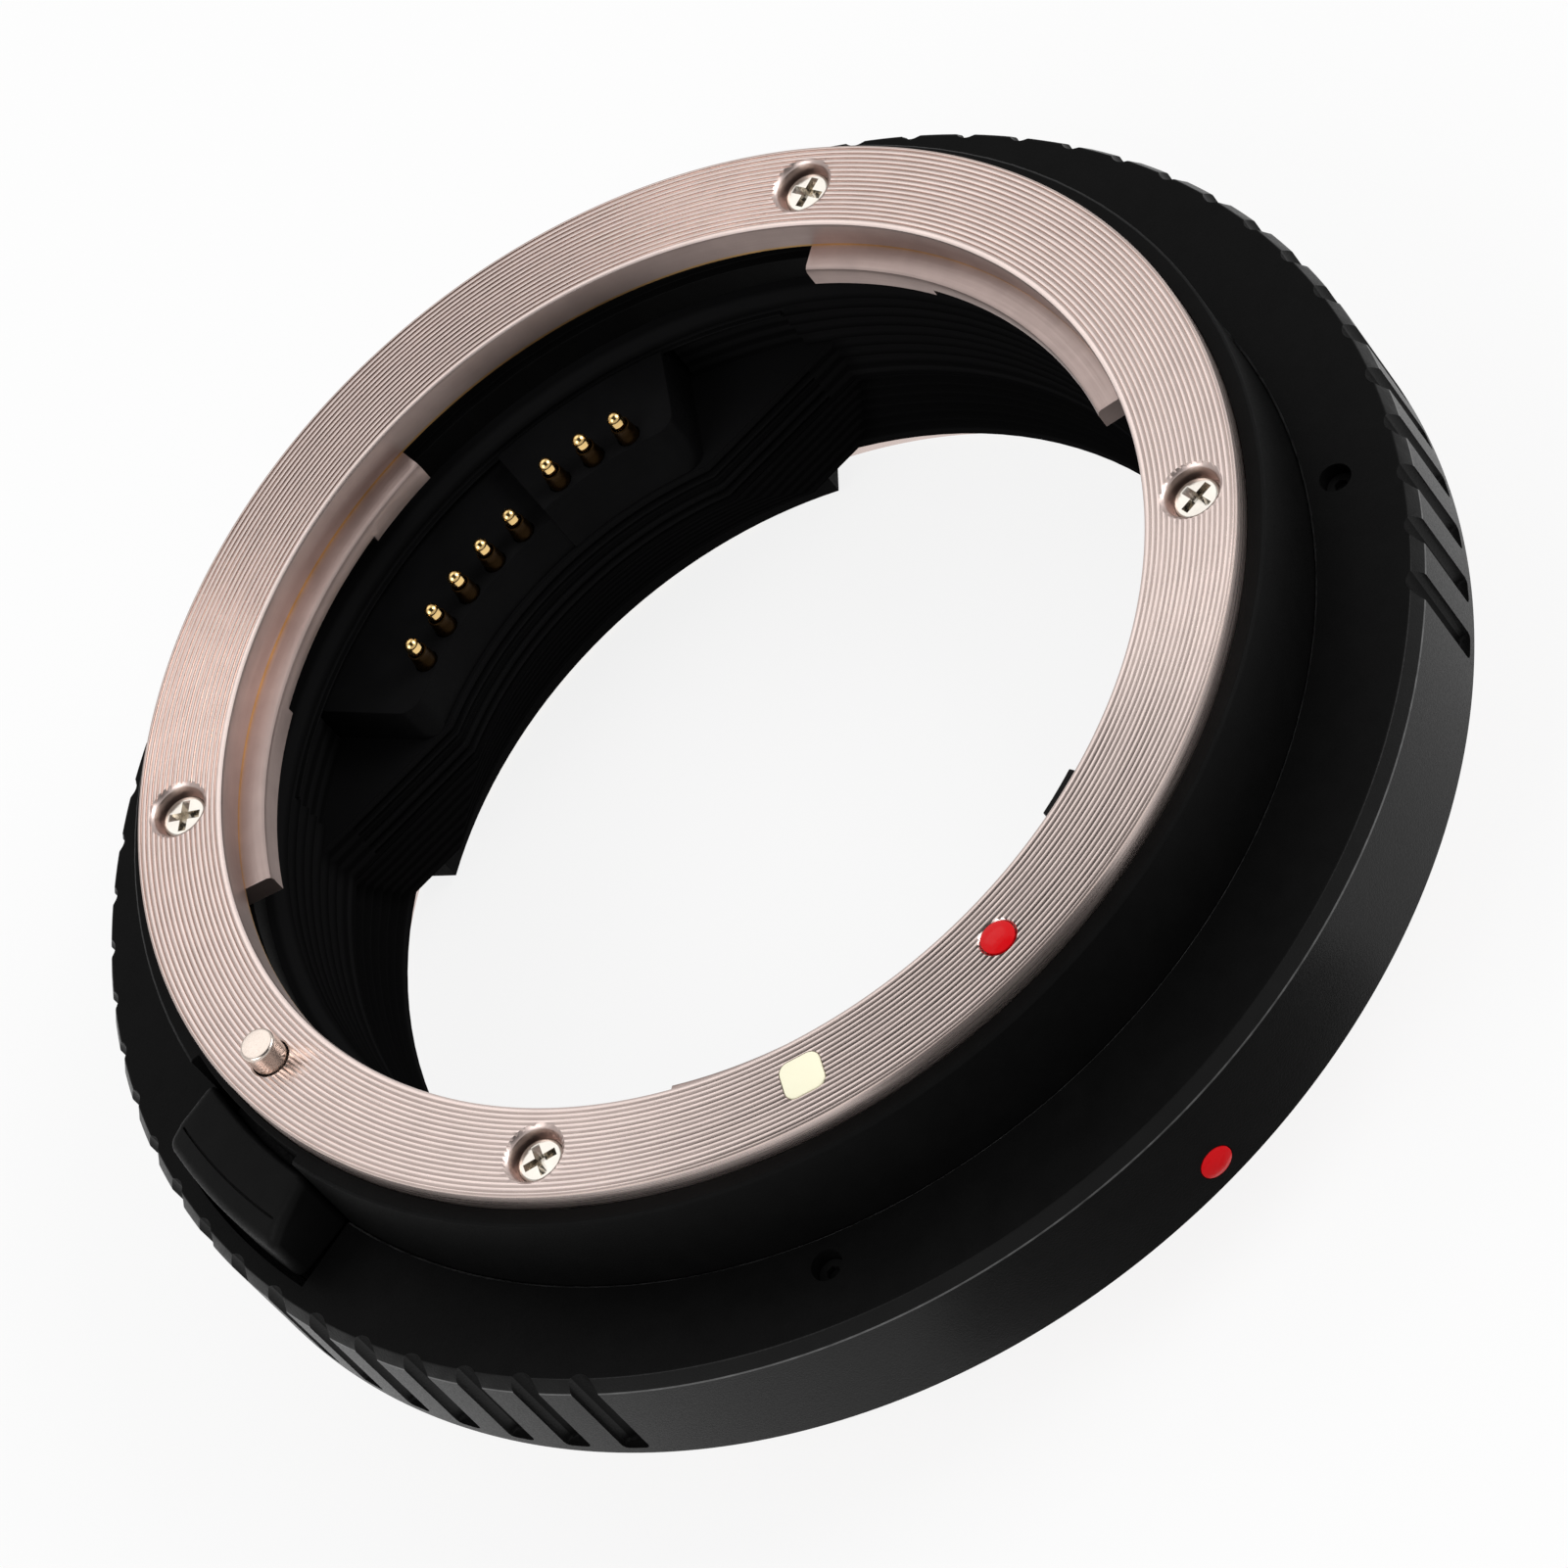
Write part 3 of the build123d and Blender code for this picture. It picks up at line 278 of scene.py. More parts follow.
# Lighter than the shoulder's black: painted light that offsets the shade on the caps down in their holes
CAP_LIGHTENED_BLACK = Finish("cap_lightened_black", (0.007, 0.007, 0.007), 0.0, 0.6, 0.02, grain_size=0.1)
# Matt black for the baffles, with painted shade and light in bands along the ribs
MATT_BLACK_RIB_SHADE = Finish(
    "matt_black_rib_shade", (0.0056, 0.0056, 0.0058), 0.0, 0.6, 0.0, grain=Grain.RIB_SHADED, grain_size=0.9,
    grain_depth=0.08, mottle=0.30,
)
SATIN_BLACK = Finish(
    "satin_black", (0.0045, 0.0045, 0.0047), 0.0, 0.45, 0.012, grain=Grain.MOULDED, grain_size=0.15,
    grain_depth=0.05,
)
BUTTON_BLACK = Finish(
    "button_black", (0.005, 0.005, 0.005), 0.0, 0.5, 0.05, grain=Grain.MOULDED, grain_size=0.12,
    grain_depth=0.06,
)
GOLD_PLATING = Finish(
    "gold_plating", (0.90, 0.62, 0.26), 1.0, 0.18, grain=Grain.LACQUER, grain_size=0.2,
    grain_depth=0.03, mottle=0.08,
)
# Near-black brass for the contact tubes: painted shade down inside the contact block
SHADED_BRASS = Finish(
    "shaded_brass", (0.026, 0.014, 0.005), 1.0, 0.45, grain=Grain.LACQUER, grain_size=0.2,
    grain_depth=0.05, mottle=0.1,
)
RED_ENAMEL = Finish(
    "red_enamel", (0.56, 0.002, 0.005), 0.0, 0.3, 0.12, 0.18, Grain.LACQUER, 0.6, 0.10, 0.1,
)
CREAM_ENAMEL = Finish(
    "cream_enamel", (0.83, 0.80, 0.60), 0.0, 0.4, 0.5, 0.3, Grain.LACQUER, 0.5, 0.06, 0.05,
)
GREEN_LACQUER = Finish(
    "green_lacquer", (0.01, 0.10, 0.04), 0.0, 0.35, 0.5, 0.3, Grain.LACQUER, 0.3, 0.08, 0.15,
)
CHIP_BLACK = Finish("chip_black", (0.015, 0.015, 0.016), 0.0, 0.5, grain_size=0.1)
AMBER_FILM = Finish(
    "amber_film", (0.45, 0.20, 0.04), 0.0, 0.3, 0.5, 0.2, Grain.LACQUER, 0.4, 0.05, 0.2,
)


def polar(radius: float, angle: float) -> Place:
    """The place at a radius in millimetres and an angle in degrees."""
    return radius * math.cos(math.radians(angle)), radius * math.sin(math.radians(angle))


def linked(name: str, bm: bmesh.types.BMesh) -> bpy.types.Object:
    """Turns a bmesh into an object of the scene, smooth apart from its edges.

    Args:
        name: The name of the new object.
        bm: The mesh, in metres, which is freed.

    Returns:
        The new object at the origin.
    """
    bmesh.ops.recalc_face_normals(bm, faces=bm.faces)
    mesh = bpy.data.meshes.new(name)
    bm.to_mesh(mesh)
    bm.free()
    mesh.shade_smooth()
    mesh.set_sharp_from_angle(angle=SMOOTH_ANGLE)
    made = bpy.data.objects.new(name, mesh)
    bpy.context.scene.collection.objects.link(made)
    return made


def dress(piece: bpy.types.Object, finish: Finish, node: str) -> None:
    """Gives a piece its finish and its body, and hides the node that it stands for.

    Args:
        piece: The new piece, in place.
        finish: Its surface finish.
        node: The node that it replaces, whose body it rides on.
    """
    piece.data.materials.clear()
    piece.data.materials.append(finish.material())
    bodies = frame["record"]["behaviour"]["bodies"]
    body = next(name for name, nodes in bodies.items() if node in nodes)
    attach(piece, body)
    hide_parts(node)
    log.info("%s: %d faces, for %s", piece.name, len(piece.data.polygons), node)


def finished(node: str, finish: Finish) -> None:
    """Keeps a node's own solid and gives it a finish.

    Args:
        node: The node that stays.
        finish: Its surface finish.
    """
    solid = frame["nodes"][node]
    solid.data.materials.clear()
    solid.data.materials.append(finish.material())
    log.info("%s keeps its solid", node)


def merged(node: str) -> bmesh.types.BMesh:
    """A copy of a node's mesh whose loose triangles are joined up.

    Args:
        node: The node to copy.

    Returns:
        The joined mesh.
    """
    bm = bmesh.new()
    bm.from_mesh(frame["nodes"][node].data)
    bmesh.ops.remove_doubles(bm, verts=bm.verts, dist=JOIN_DISTANCE)
    bmesh.ops.dissolve_limit(
        bm, angle_limit=FLAT_ANGLE, use_dissolve_boundaries=False,
        verts=bm.verts, edges=bm.edges, delimit={"NORMAL"},
    )
    return bm


def eased(piece: bpy.types.Object, edge: float = 0.0) -> None:
    """Breaks the edges of a piece and keeps its large faces flat in the light.

    Args:
        piece: The piece.
        edge: The width of its edge bevel in millimetres, or 0 for none.
    """
    if edge:
        bevel = piece.modifiers.new("edge", "BEVEL")
        bevel.width = edge * MM
        bevel.segments = 3
        bevel.limit_method = "ANGLE"
        bevel.angle_limit = BEVEL_ANGLE
        bevel.use_clamp_overlap = True
    flat = piece.modifiers.new("flat_faces", "WEIGHTED_NORMAL")
    flat.keep_sharp = True


def copied(node: str, finish: Finish, name: str, edge: float = 0.0) -> None:
    """Makes a smooth copy of a node, with its edges broken.

    Args:
        node: The node to copy.
        finish: Its surface finish.
        name: The name of the new piece.
        edge: The width of its edge bevel in millimetres, or 0 for none.
    """
    piece = linked(name, merged(node))
    eased(piece, edge)
    dress(piece, finish, node)


def turned(
    bm: bmesh.types.BMesh, outline: Outline, centre: Place = (0.0, 0.0), segments: int = 48,
    start: float = 0.0, sweep: float = 360.0,
) -> None:
    """Turns a closed outline about an upright axis and adds it to a mesh.

    Args:
        bm: The mesh that gets the turned shape.
        outline: (radius, height) points in millimetres, in order round the section.
        centre: Where the axis stands, in millimetres.
        segments: How many steps the turn has.
        start: The angle at which the turn starts, in degrees.
        sweep: How far it goes, in degrees.
    """
    before = set(bm.verts)
    axis = Vector((*centre, 0)) * MM
    way = Vector((*polar(1, start), 0))
    verts = [bm.verts.new(axis + (way * radius + Vector((0, 0, z))) * MM) for radius, z in outline]
    edges = [
        bm.edges.new((verts[i - 1], verts[i]))
        for i in range(len(verts)) if outline[i][0] > 0 or outline[i - 1][0] > 0
    ]
    whole = sweep >= 360
    bmesh.ops.spin(
        bm, geom=verts + edges, cent=axis, axis=(0, 0, 1), angle=math.radians(sweep),
        steps=segments, use_merge=whole,
    )
    fresh = [v for v in bm.verts if v not in before]
    bmesh.ops.remove_doubles(bm, verts=fresh, dist=SEAM_DISTANCE)
    if not whole:
        open_edges = [e for e in bm.edges if e.is_boundary]
        bmesh.ops.holes_fill(bm, edges=open_edges, sides=0)


def drilled(
    bm: bmesh.types.BMesh, wall: Outline, place: Place = (0.0, 0.0), segments: int = 48
) -> None:
    """Adds the shape of a stepped round hole, with which the hole is cut.

    Args:
        bm: The mesh that gets the shape.
        wall: (radius, height) points of the hole's wall in millimetres, from one end to the other.
        place: Where its axis stands, in millimetres.
        segments: How many sides it has.
    """
    turned(bm, [(0.0, wall[0][1]), *wall, (0.0, wall[-1][1])], place, segments)


def block(
    bm: bmesh.types.BMesh, place: Place, size: Place, heights: Place, turn: float = 0.0,
    corner: float = 0.0, edge: float = 0.0,
) -> None:
    """Adds a block with rounded upright corners and a rounded top edge.

    Args:
        bm: The mesh that gets the block.
        place: Its middle, in millimetres.
        size: Its length and width, in millimetres.
        heights: Its lowest and highest height, in millimetres.
        turn: Its turn about the upright axis, in degrees.
        corner: The radius of its upright corners, in millimetres.
        edge: The radius of its top edge, in millimetres.
    """
    part = bmesh.new()
    bmesh.ops.create_cube(part, size=MM)
    bmesh.ops.scale(part, vec=(*size, heights[1] - heights[0]), verts=part.verts)
    bmesh.ops.rotate(
        part, cent=(0, 0, 0), matrix=Matrix.Rotation(math.radians(turn), 3, "Z"), verts=part.verts
    )
    bmesh.ops.translate(part, vec=Vector((*place, sum(heights) / 2)) * MM, verts=part.verts)
    top = heights[1] * MM - SLIVER
    for radius, steps, upright in ((corner, 6, True), (edge, 3, False)):
        if not radius:
            continue
        chosen = [
            e for e in part.edges
            if (abs(e.verts[0].co.z - e.verts[1].co.z) > SLIVER) == upright
            and (upright or min(v.co.z for v in e.verts) > top)
        ]
        bmesh.ops.bevel(
            part, geom=chosen, offset=radius * MM, segments=steps, affect="EDGES", profile=0.5,
            material=-1,
        )
    shape = bpy.data.meshes.new("block_shape")
    part.to_mesh(shape)
    part.free()
    bm.from_mesh(shape)
    bpy.data.meshes.remove(shape)


def volume(mesh: bpy.types.Mesh) -> float:
    """The volume that a closed mesh holds, in cubic metres."""
    bm = bmesh.new()
    bm.from_mesh(mesh)
    held = abs(bm.calc_volume(signed=True))
    bm.free()
    return held


def worked(piece: bpy.types.Object) -> bpy.types.Mesh:
    """The mesh that a piece has with its modifiers applied, which are then taken off."""
    graph = bpy.context.evaluated_depsgraph_get()
    fresh = bpy.data.meshes.new_from_object(piece.evaluated_get(graph))
    piece.modifiers.clear()
    return fresh


def reshape(piece: bpy.types.Object, fresh: bpy.types.Mesh) -> None:
    """Gives a piece a new mesh in place of its own, which is dropped."""
    old = piece.data
    piece.data = fresh
    bpy.data.meshes.remove(old)
    fresh.name = piece.name


def carve(piece: bpy.types.Object, cutter: bmesh.types.BMesh, join: bool = False) -> None:
    """Cuts a shape out of a piece, or joins the two to one solid.

    Args:
        piece: The object that is changed.
        cutter: The closed shapes that are taken away or added, which are freed.
        join: Whether they are added.
    """
    tool = linked("cutter", cutter)
    before, change = volume(piece.data), volume(tool.data)
    for tolerant in (False, True):
        cut = piece.modifiers.new("cut", "BOOLEAN")
        cut.object = tool
        cut.solver = "EXACT"
        cut.operation = "UNION" if join else "DIFFERENCE"
        cut.use_hole_tolerant = tolerant
        fresh = worked(piece)
        grown = volume(fresh) - before
        if 0 < (grown if join else -grown) < change:
            break
        log.warning("%s: a cut of %s is made again", piece.name, tool.name)
    reshape(piece, fresh)
    bpy.data.meshes.remove(tool.data)
    log.info("%s is cut to %d faces", piece.name, len(fresh.polygons))
    fresh.shade_smooth()
    fresh.set_sharp_from_angle(angle=SMOOTH_ANGLE)


def taken(piece: bpy.types.Object) -> bmesh.types.BMesh:
    """Takes the mesh out of an object and drops the object."""
    bm = bmesh.new()
    bm.from_mesh(piece.data)
    bpy.data.meshes.remove(piece.data)
    return bm


def thread(radius: float, low: float, high: float, pitch: float = 0.4) -> Outline:
    """The outline of a screw's thread, from its top down to its end.

    Args:
        radius: The outer radius of the thread, in millimetres.
        low: The height of the screw's end, in millimetres.
        high: The height where the thread starts, in millimetres.
        pitch: The distance from crest to crest, in millimetres.

    Returns:
        The points from the start of the thread to the axis.
    """
    depth = pitch / 4
    lead = 0.3
    points = [(radius, high)]
    z = high - pitch / 2
    while z - pitch / 2 > low + pitch:
        points += [(radius - depth, z), (radius, z - pitch / 2)]
        z -= pitch
    return points + [(radius, low + pitch), (radius - lead, low), (0.0, low)]


def rounded_rim(radius: float, top: float, edge: float) -> Outline:
    """The outline of a flat top with a rounded rim, from the axis to the side wall.

    Args:
        radius: The outer radius, in millimetres.
        top: The height of the flat top, in millimetres.
        edge: The radius of the rim's rounding, in millimetres.

    Returns:
        The points from the axis outwards and down.
    """
    steps = 4
    points = [(0.0, top)]
    for step in range(steps + 1):
        turn = math.radians(90 * step / steps)
        points.append((radius - edge + edge * math.sin(turn), top - edge + edge * math.cos(turn)))
    return points


def dome(radius: float, rise: float, foot: float, back: float, steps: int = 10) -> Outline:
    """The outline of a bead with a domed top.

    Args:
        radius: The bead's radius, in millimetres.
        rise: How far the dome stands above its foot, in millimetres.
        foot: The height of the dome's foot, in millimetres.
        back: The height of the bead's flat back, in millimetres.
        steps: How many steps the dome has.

    Returns:
        The points from the top outwards and down to the axis.
    """
    curve = (radius ** 2 + rise ** 2) / (2 * rise)
    widest = math.asin(radius / curve)
    points = []
    for step in range(steps + 1):
        turn = widest * step / steps
        points.append((curve * math.sin(turn), foot + rise - curve * (1 - math.cos(turn))))
    return points + [(radius, back), (0.0, back)]


def cross_cutters(places: list[Place], mouth: float, floor: float) -> list[bmesh.types.BMesh]:
    """The two crossing wedges that cut a cross recess into each of several screws.

    Args:
        places: The middles of the screws, in millimetres.
        mouth: The height of the recess's mouth, a little outside the head.
        floor: The height of its floor.

    Returns:
        One mesh for each wing direction.
    """
    span, width = 1.95, 0.48
    taper = (0.55, 0.6, 1)
    first_turn, turn_step = 20, 25
    cutters = []
    for quarter in (0, 90):
        bm = bmesh.new()
        for number, place in enumerate(places):
            before = set(bm.verts)
            block(bm, (0, 0), (span, width), (min(mouth, floor), max(mouth, floor)))
            wedge = [v for v in bm.verts if v not in before]
            deep = [v for v in wedge if abs(v.co.z - floor * MM) < SLIVER]
            bmesh.ops.scale(bm, vec=taper, verts=deep)
            turn = math.radians(first_turn + turn_step * number + quarter)
            bmesh.ops.rotate(bm, cent=(0, 0, 0), verts=wedge, matrix=Matrix.Rotation(turn, 3, "Z"))
            bmesh.ops.translate(bm, vec=Vector((*place, 0)) * MM, verts=wedge)
        cutters.append(bm)
    return cutters


class RingPart(IntEnum):
    """A part of the lens side ring, as the number of its finish."""

    FACE = 0
    WALL = 1
    GROOVE = 2
    BORE = 3
    BRASS = 4


@dataclass
class MountFace:
    """The champagne ring that the lens sits on, with its screws and index marks."""

    throat: float = 27.0
    outer: float = 32.2
    top: float = 22.3
    foot: float = 20.4
    rim: float = 0.15
    mouth: float = 0.2
    brass_height: float = 0.14
    groove_first: float = 27.42
    groove_pitch: float = 0.30
    groove_count: int = 16
    groove_width: float = 0.17
    groove_wall: float = 0.012
    groove_depth: float = 0.075
    shade_share: float = 0.04
    steps: int = 300
    claw_radius: float = 25.4
    claw_foot: float = 27.8
    claw_bottom: float = 19.1
    claw_hold: float = 0.5
    claw_root: float = 0.1
    claw_lift: float = 0.01
    claw_round: Outline = field(default_factory=lambda: [(0.08, -0.08), (0.0, -0.29)])
    claws: tuple[tuple[float, ...], ...] = (
        (-17.5, 36.0, -8.0, 18.0), (92.5, 154.0, 102.7, 128.0), (-130.0, -76.0, -118.0, -92.0),
    )
    relief_top: float = 19.55
    cut_room: float = 0.3
    screw_circle: float = 29.7
    screw_angles: tuple[float, ...] = (36.87, 143.13, 216.87, 323.13)
    screw_seat: float = 20.9
    screw_top: float = 21.6
    head_radius: float = 1.32
    bore_radius: float = 1.53
    halo: float = 0.27
    shank_radius: float = 0.8
    shank_end: float = 15.9
    peg_bore: float = 1.1
    peg_angle: float = 180.0
    bead_radius: float = 0.95
    bead_rise: float = 0.2
    bead_depth: float = 0.55
    bead_seat: float = 1.0
    bead_angle: float = -90.0
    mark_turn: float = -113.4
    mark_place: Place = polar(29.35, mark_turn)
    mark_size: float = 2.3
    mark_corner: float = 0.6
    mark_heights: Place = (-0.3, 0.05)

    def build(self) -> None:
        """Builds and dresses every piece of the ring."""
        self.plate()
        self.screws()
        bm = bmesh.new()
        bead = dome(self.bead_radius, self.bead_rise, self.top, self.top - self.bead_depth)
        turned(bm, bead, polar(self.screw_circle, self.bead_angle))
        dress(linked("ring_index_bead", bm), RED_ENAMEL, "flange_index_dot")
        bm = bmesh.new()
        size = (self.mark_size, self.mark_size)
        low, high = (self.top + height for height in self.mark_heights)
        block(bm, self.mark_place, size, (low, high), self.mark_turn, self.mark_corner, 0.06)
        dress(linked("ring_index_square", bm), CREAM_ENAMEL, "flange_index_mark")
        copied("leaf_springs", SPRING_STEEL, "claw_springs", 0.03)
        copied("rotation_stop", BLACK_OXIDE, "turn_stop", 0.05)

    def grooves(self) -> Outline:
        """The grooves of the face, from the outermost inwards."""
        points = []
        for number in reversed(range(self.groove_count)):
            middle = self.groove_first + number * self.groove_pitch
            edge = middle + self.groove_width / 2
            points += [
                (edge, self.top), (edge - self.groove_wall, self.top - self.groove_depth),
                (middle - self.groove_width / 2, self.top),
            ]
        return points

    def plate(self) -> None:
        """Turns the grooved plate, cuts its holes, adds the claws and gives each part its finish."""
        rim, mouth = self.rim * ROUND_SHARE, self.mouth * ROUND_SHARE
        bm = bmesh.new()
        turned(bm, [
            (self.throat, self.foot), (self.outer, self.foot), (self.outer, self.top - self.rim),
            (self.outer - rim, self.top - rim), (self.outer - self.rim, self.top), *self.grooves(),
            (self.throat + self.mouth, self.top), (self.throat + mouth, self.top - mouth),
            (self.throat, self.top - self.mouth), (self.throat, self.foot + self.brass_height),
        ], segments=self.steps)
        piece = linked("ring_plate", bm)
        lugs = self.lugs()
        carve(piece, self.holes())
        carve(piece, taken(lugs), join=True)
        eased(piece)
        dress(piece, CHAMPAGNE_PLATING, "lens_mount_ring")
        for finish in (SHADED_WALL_PLATING, GROOVE_SHADE_PLATING, BORE_PLATING, BARE_BRASS):
            piece.data.materials.append(finish.material())
        for face in piece.data.polygons:
            face.material_index = self.part(face.center / MM, face.normal)

    def lugs(self) -> bpy.types.Object:
        """The three claws with the reliefs for their leaf springs.

        Returns:
            One object, which still has to be joined to the plate.
        """
        claws = bmesh.new()
        reliefs = bmesh.new()
        root, hold = self.throat + self.claw_root, self.foot + self.claw_hold
        lift, room = self.foot + self.claw_lift, self.cut_room
        for start, end, relief_start, relief_end in self.claws:
            turned(claws, [
                (self.claw_radius, self.claw_bottom), (self.claw_foot, self.claw_bottom),
                (self.claw_foot, hold), (root, hold), (root, lift), (self.claw_radius + 0.3, lift),
                *[(self.claw_radius + out, self.foot + rise) for out, rise in self.claw_round],
            ], start=start, sweep=end - start, segments=64)
            turned(reliefs, [
                (self.claw_radius - room, self.claw_bottom - room),
                (self.claw_foot + room, self.claw_bottom - room),
                (self.claw_foot + room, self.relief_top), (self.claw_radius - room, self.relief_top),
            ], start=relief_start, sweep=relief_end - relief_start, segments=32)
        lugs = linked("lugs", claws)
        carve(lugs, reliefs)
        return lugs

    def holes(self) -> bmesh.types.BMesh:
        """The shapes of the screws' bores, the peg's bore and the seats of both index marks."""
        holes = bmesh.new()
        low, lip, high = self.foot - 0.1, self.top + 0.01, self.top + self.cut_room
        shank, wide = self.shank_radius + 0.05, self.bore_radius + self.halo
        for angle in self.screw_angles:
            drilled(holes, [
                (shank, low), (shank, self.screw_seat), (self.bore_radius, self.screw_seat),
                (self.bore_radius, self.top - self.halo * 0.8),
                (self.bore_radius + 0.06, self.top - self.halo * 0.45), (wide, lip), (wide, high),
            ], polar(self.screw_circle, angle))
        bore, seat = self.peg_bore, self.bead_seat
        drilled(
            holes, [(bore, low), (bore, self.top - 0.08), (1.2, lip), (1.2, high)],
            polar(self.screw_circle, self.peg_angle),
        )
        drilled(
            holes, [(seat, self.top - 0.6), (seat, self.top - 0.1), (1.12, lip), (1.12, high)],
            polar(self.screw_circle, self.bead_angle),
        )
        size = (self.mark_size + 0.1, self.mark_size + 0.1)
        block(holes, self.mark_place, size, (self.top - 0.35, high), self.mark_turn, self.mark_corner + 0.05)
        return holes

    def part(self, middle: Vector, normal: Vector) -> RingPart:
        """Tells which part of the ring a face belongs to.

        Args:
            middle: The middle of the face, in millimetres.
            normal: The direction that it faces.

        Returns:
            Its part of the ring.
        """
        reach = math.hypot(middle.x, middle.y)
        # Throat wall and claw faces get the darker plating, painted shade in the throat; the thin band at
        # its foot is bare brass
        if reach < self.throat + 0.03 and middle.z < self.top - 0.1:
            brass = reach > self.throat - 0.03 and middle.z < self.foot + self.brass_height
            return RingPart.BRASS if brass else RingPart.WALL
        level = abs(normal.z) > 0.99 and middle.z > self.top - 0.01
        bores = [Vector(polar(self.screw_circle, angle)) for angle in self.screw_angles]
        halo = self.bore_radius + self.halo
        if not level and any((middle.xy - bore).length < halo for bore in bores):
            return RingPart.BORE
        last = self.groove_first + self.groove_count * self.groove_pitch
        # Groove walls that face across the radius get the darker plating: painted shade in the grooves
        across = abs(normal.x * middle.y - normal.y * middle.x)
        sunk = self.groove_first - 0.1 < reach < last and self.top - 0.1 < middle.z < self.top - 0.01
        return RingPart.GROOVE if sunk and across < self.shade_share * reach else RingPart.FACE

    def screws(self) -> None:
        """Turns the four screws and cuts their cross recesses."""
        places = [polar(self.screw_circle, angle) for angle in self.screw_angles]
        bm = bmesh.new()
        for place in places:
            turned(bm, [
                *rounded_rim(self.head_radius, self.screw_top, 0.22), (self.head_radius, self.screw_seat),
                *thread(self.shank_radius, self.shank_end, self.screw_seat),
            ], place)
        piece = linked("ring_screws", bm)
        for cutter in cross_cutters(places, self.screw_top + 0.05, self.screw_top - 0.65):
            carve(piece, cutter)
        dress(piece, BRIGHT_NICKEL, "lens_mount_screws")


@dataclass
class Neck:
    """The black turned core and neck."""

    def build(self) -> None:
        """Builds and dresses the neck."""
        copied("neck_housing", BLASTED_BLACK, "neck_core", 0.05)


class BandPart(IntEnum):
    """A part of the grip's shell, as the number of its finish."""

    SHOULDER = 0
    BAND = 1
    EDGE = 2


@dataclass
class GripBand:
    """The shoulder and the fluted band."""

    inner: float = 33.25
    core: float = 36.85
    outer: float = 38.9
    foot: float = 6.4
    side_top: float = 13.5
    edge_radius: float = 38.4
    edge_height: float = 14.35
    top: float = 14.7
    plate_bottom: float = 12.8
    steps: int = 360
    flute_count: int = 51
    flute_start: float = -42.1
    flute_range: float = 260.2
    flute_circle: float = 38.95
    flute_radius: float = 0.8
    flute_foot: float = 7.55
    screw_circle: float = 34.95
    screw_angles: tuple[float, ...] = (60.1, 150.1, 240.1, 330.1)
    cap_radius: float = 0.85
    cap_seat: float = 13.1
    cap_top: float = 13.8
    cap_end: float = 10.2
    cap_shank: float = 0.55
    cap_pitch: float = 0.3
    socket_radius: float = 0.42
    socket_depth: float = 0.4
    socket_sides: int = 6
    cut_room: float = 0.5
    notch_foot: float = 12.2
    notch_outer: float = 37.45
    notch_half_angle: float = 8.9
    bead_height: float = 8.8
    bead_radius: float = 0.95
    bead_rise: float = 0.2
    bead_depth: float = 0.55

    def build(self) -> None:
        """Builds and dresses the band, its bead and the shoulder's screws."""
        self.shell()
        self.caps()
        bm = bmesh.new()
        turned(bm, dome(self.bead_radius, self.bead_rise, self.outer, self.outer - self.bead_depth))
        self.face_front(bm)
        dress(linked("band_index_bead", bm), RED_ENAMEL, "band_index_dot")

    def face_front(self, bm: bmesh.types.BMesh) -> None:
        """Lays an upright turned shape down so that it faces the front at the bead's height."""
        turn = Matrix.Rotation(math.radians(90), 3, "X")
        bmesh.ops.rotate(bm, cent=(0, 0, 0), matrix=turn, verts=bm.verts)
        bmesh.ops.translate(bm, vec=(0, 0, self.bead_height * MM), verts=bm.verts)

    def shell(self) -> None:
        """Turns the shell, cuts its flutes, its notch and its holes, and gives each part its finish."""
        high = self.top + self.cut_room
        bm = bmesh.new()
        turned(bm, [
            (self.core, self.foot), (self.outer - 0.6, self.foot), (self.outer, self.foot + 0.6),
            (self.outer, self.side_top - 0.06), (self.outer - 0.03, self.side_top + 0.05),
            (self.edge_radius + 0.06, self.edge_height - 0.1), (self.edge_radius, self.edge_height - 0.03),
            (self.edge_radius - 0.12, self.edge_height + 0.01),
            (self.inner + 0.12, self.top), (self.inner, self.top - 0.1),
            (self.inner, self.plate_bottom), (self.core, self.plate_bottom),
        ], segments=self.steps)
        piece = linked("grip_shell", bm)
        cutter = bmesh.new()
        step = self.flute_range / (self.flute_count - 1)
        for number in range(self.flute_count):
            drilled(cutter, [
                (self.flute_radius - 0.3, self.flute_foot),
                (self.flute_radius - 0.09, self.flute_foot + 0.09),
                (self.flute_radius, self.flute_foot + 0.3), (self.flute_radius, high),
            ], polar(self.flute_circle, self.flute_start + number * step), segments=32)
        carve(piece, cutter)
        cutter = bmesh.new()
        shank, wide, low = self.cap_shank + 0.05, self.cap_radius + 0.03, self.plate_bottom - 0.1
        for angle in self.screw_angles:
            drilled(
                cutter, [(shank, low), (shank, self.cap_seat), (wide, self.cap_seat), (wide, high)],
                polar(self.screw_circle, angle),
            )
        notch_inner = self.inner - 0.2
        turned(cutter, [
            (notch_inner, self.notch_foot), (self.notch_outer, self.notch_foot),
            (self.notch_outer, high), (notch_inner, high),
        ], start=180 - self.notch_half_angle, sweep=2 * self.notch_half_angle, segments=16)
        carve(piece, cutter)
        cutter = bmesh.new()
        seat = self.bead_radius + 0.05
        drilled(cutter, [(seat, self.outer - 0.6), (seat, self.outer + self.cut_room)])
        self.face_front(cutter)
        carve(piece, cutter)
        eased(piece)
        dress(piece, BLASTED_BLACK, "grip_body")
        piece.data.materials.append(BAND_BLACK.material())
        piece.data.materials.append(GLINT_EDGE_BLACK.material())
        for face in piece.data.polygons:
            face.material_index = self.part(face.center / MM)

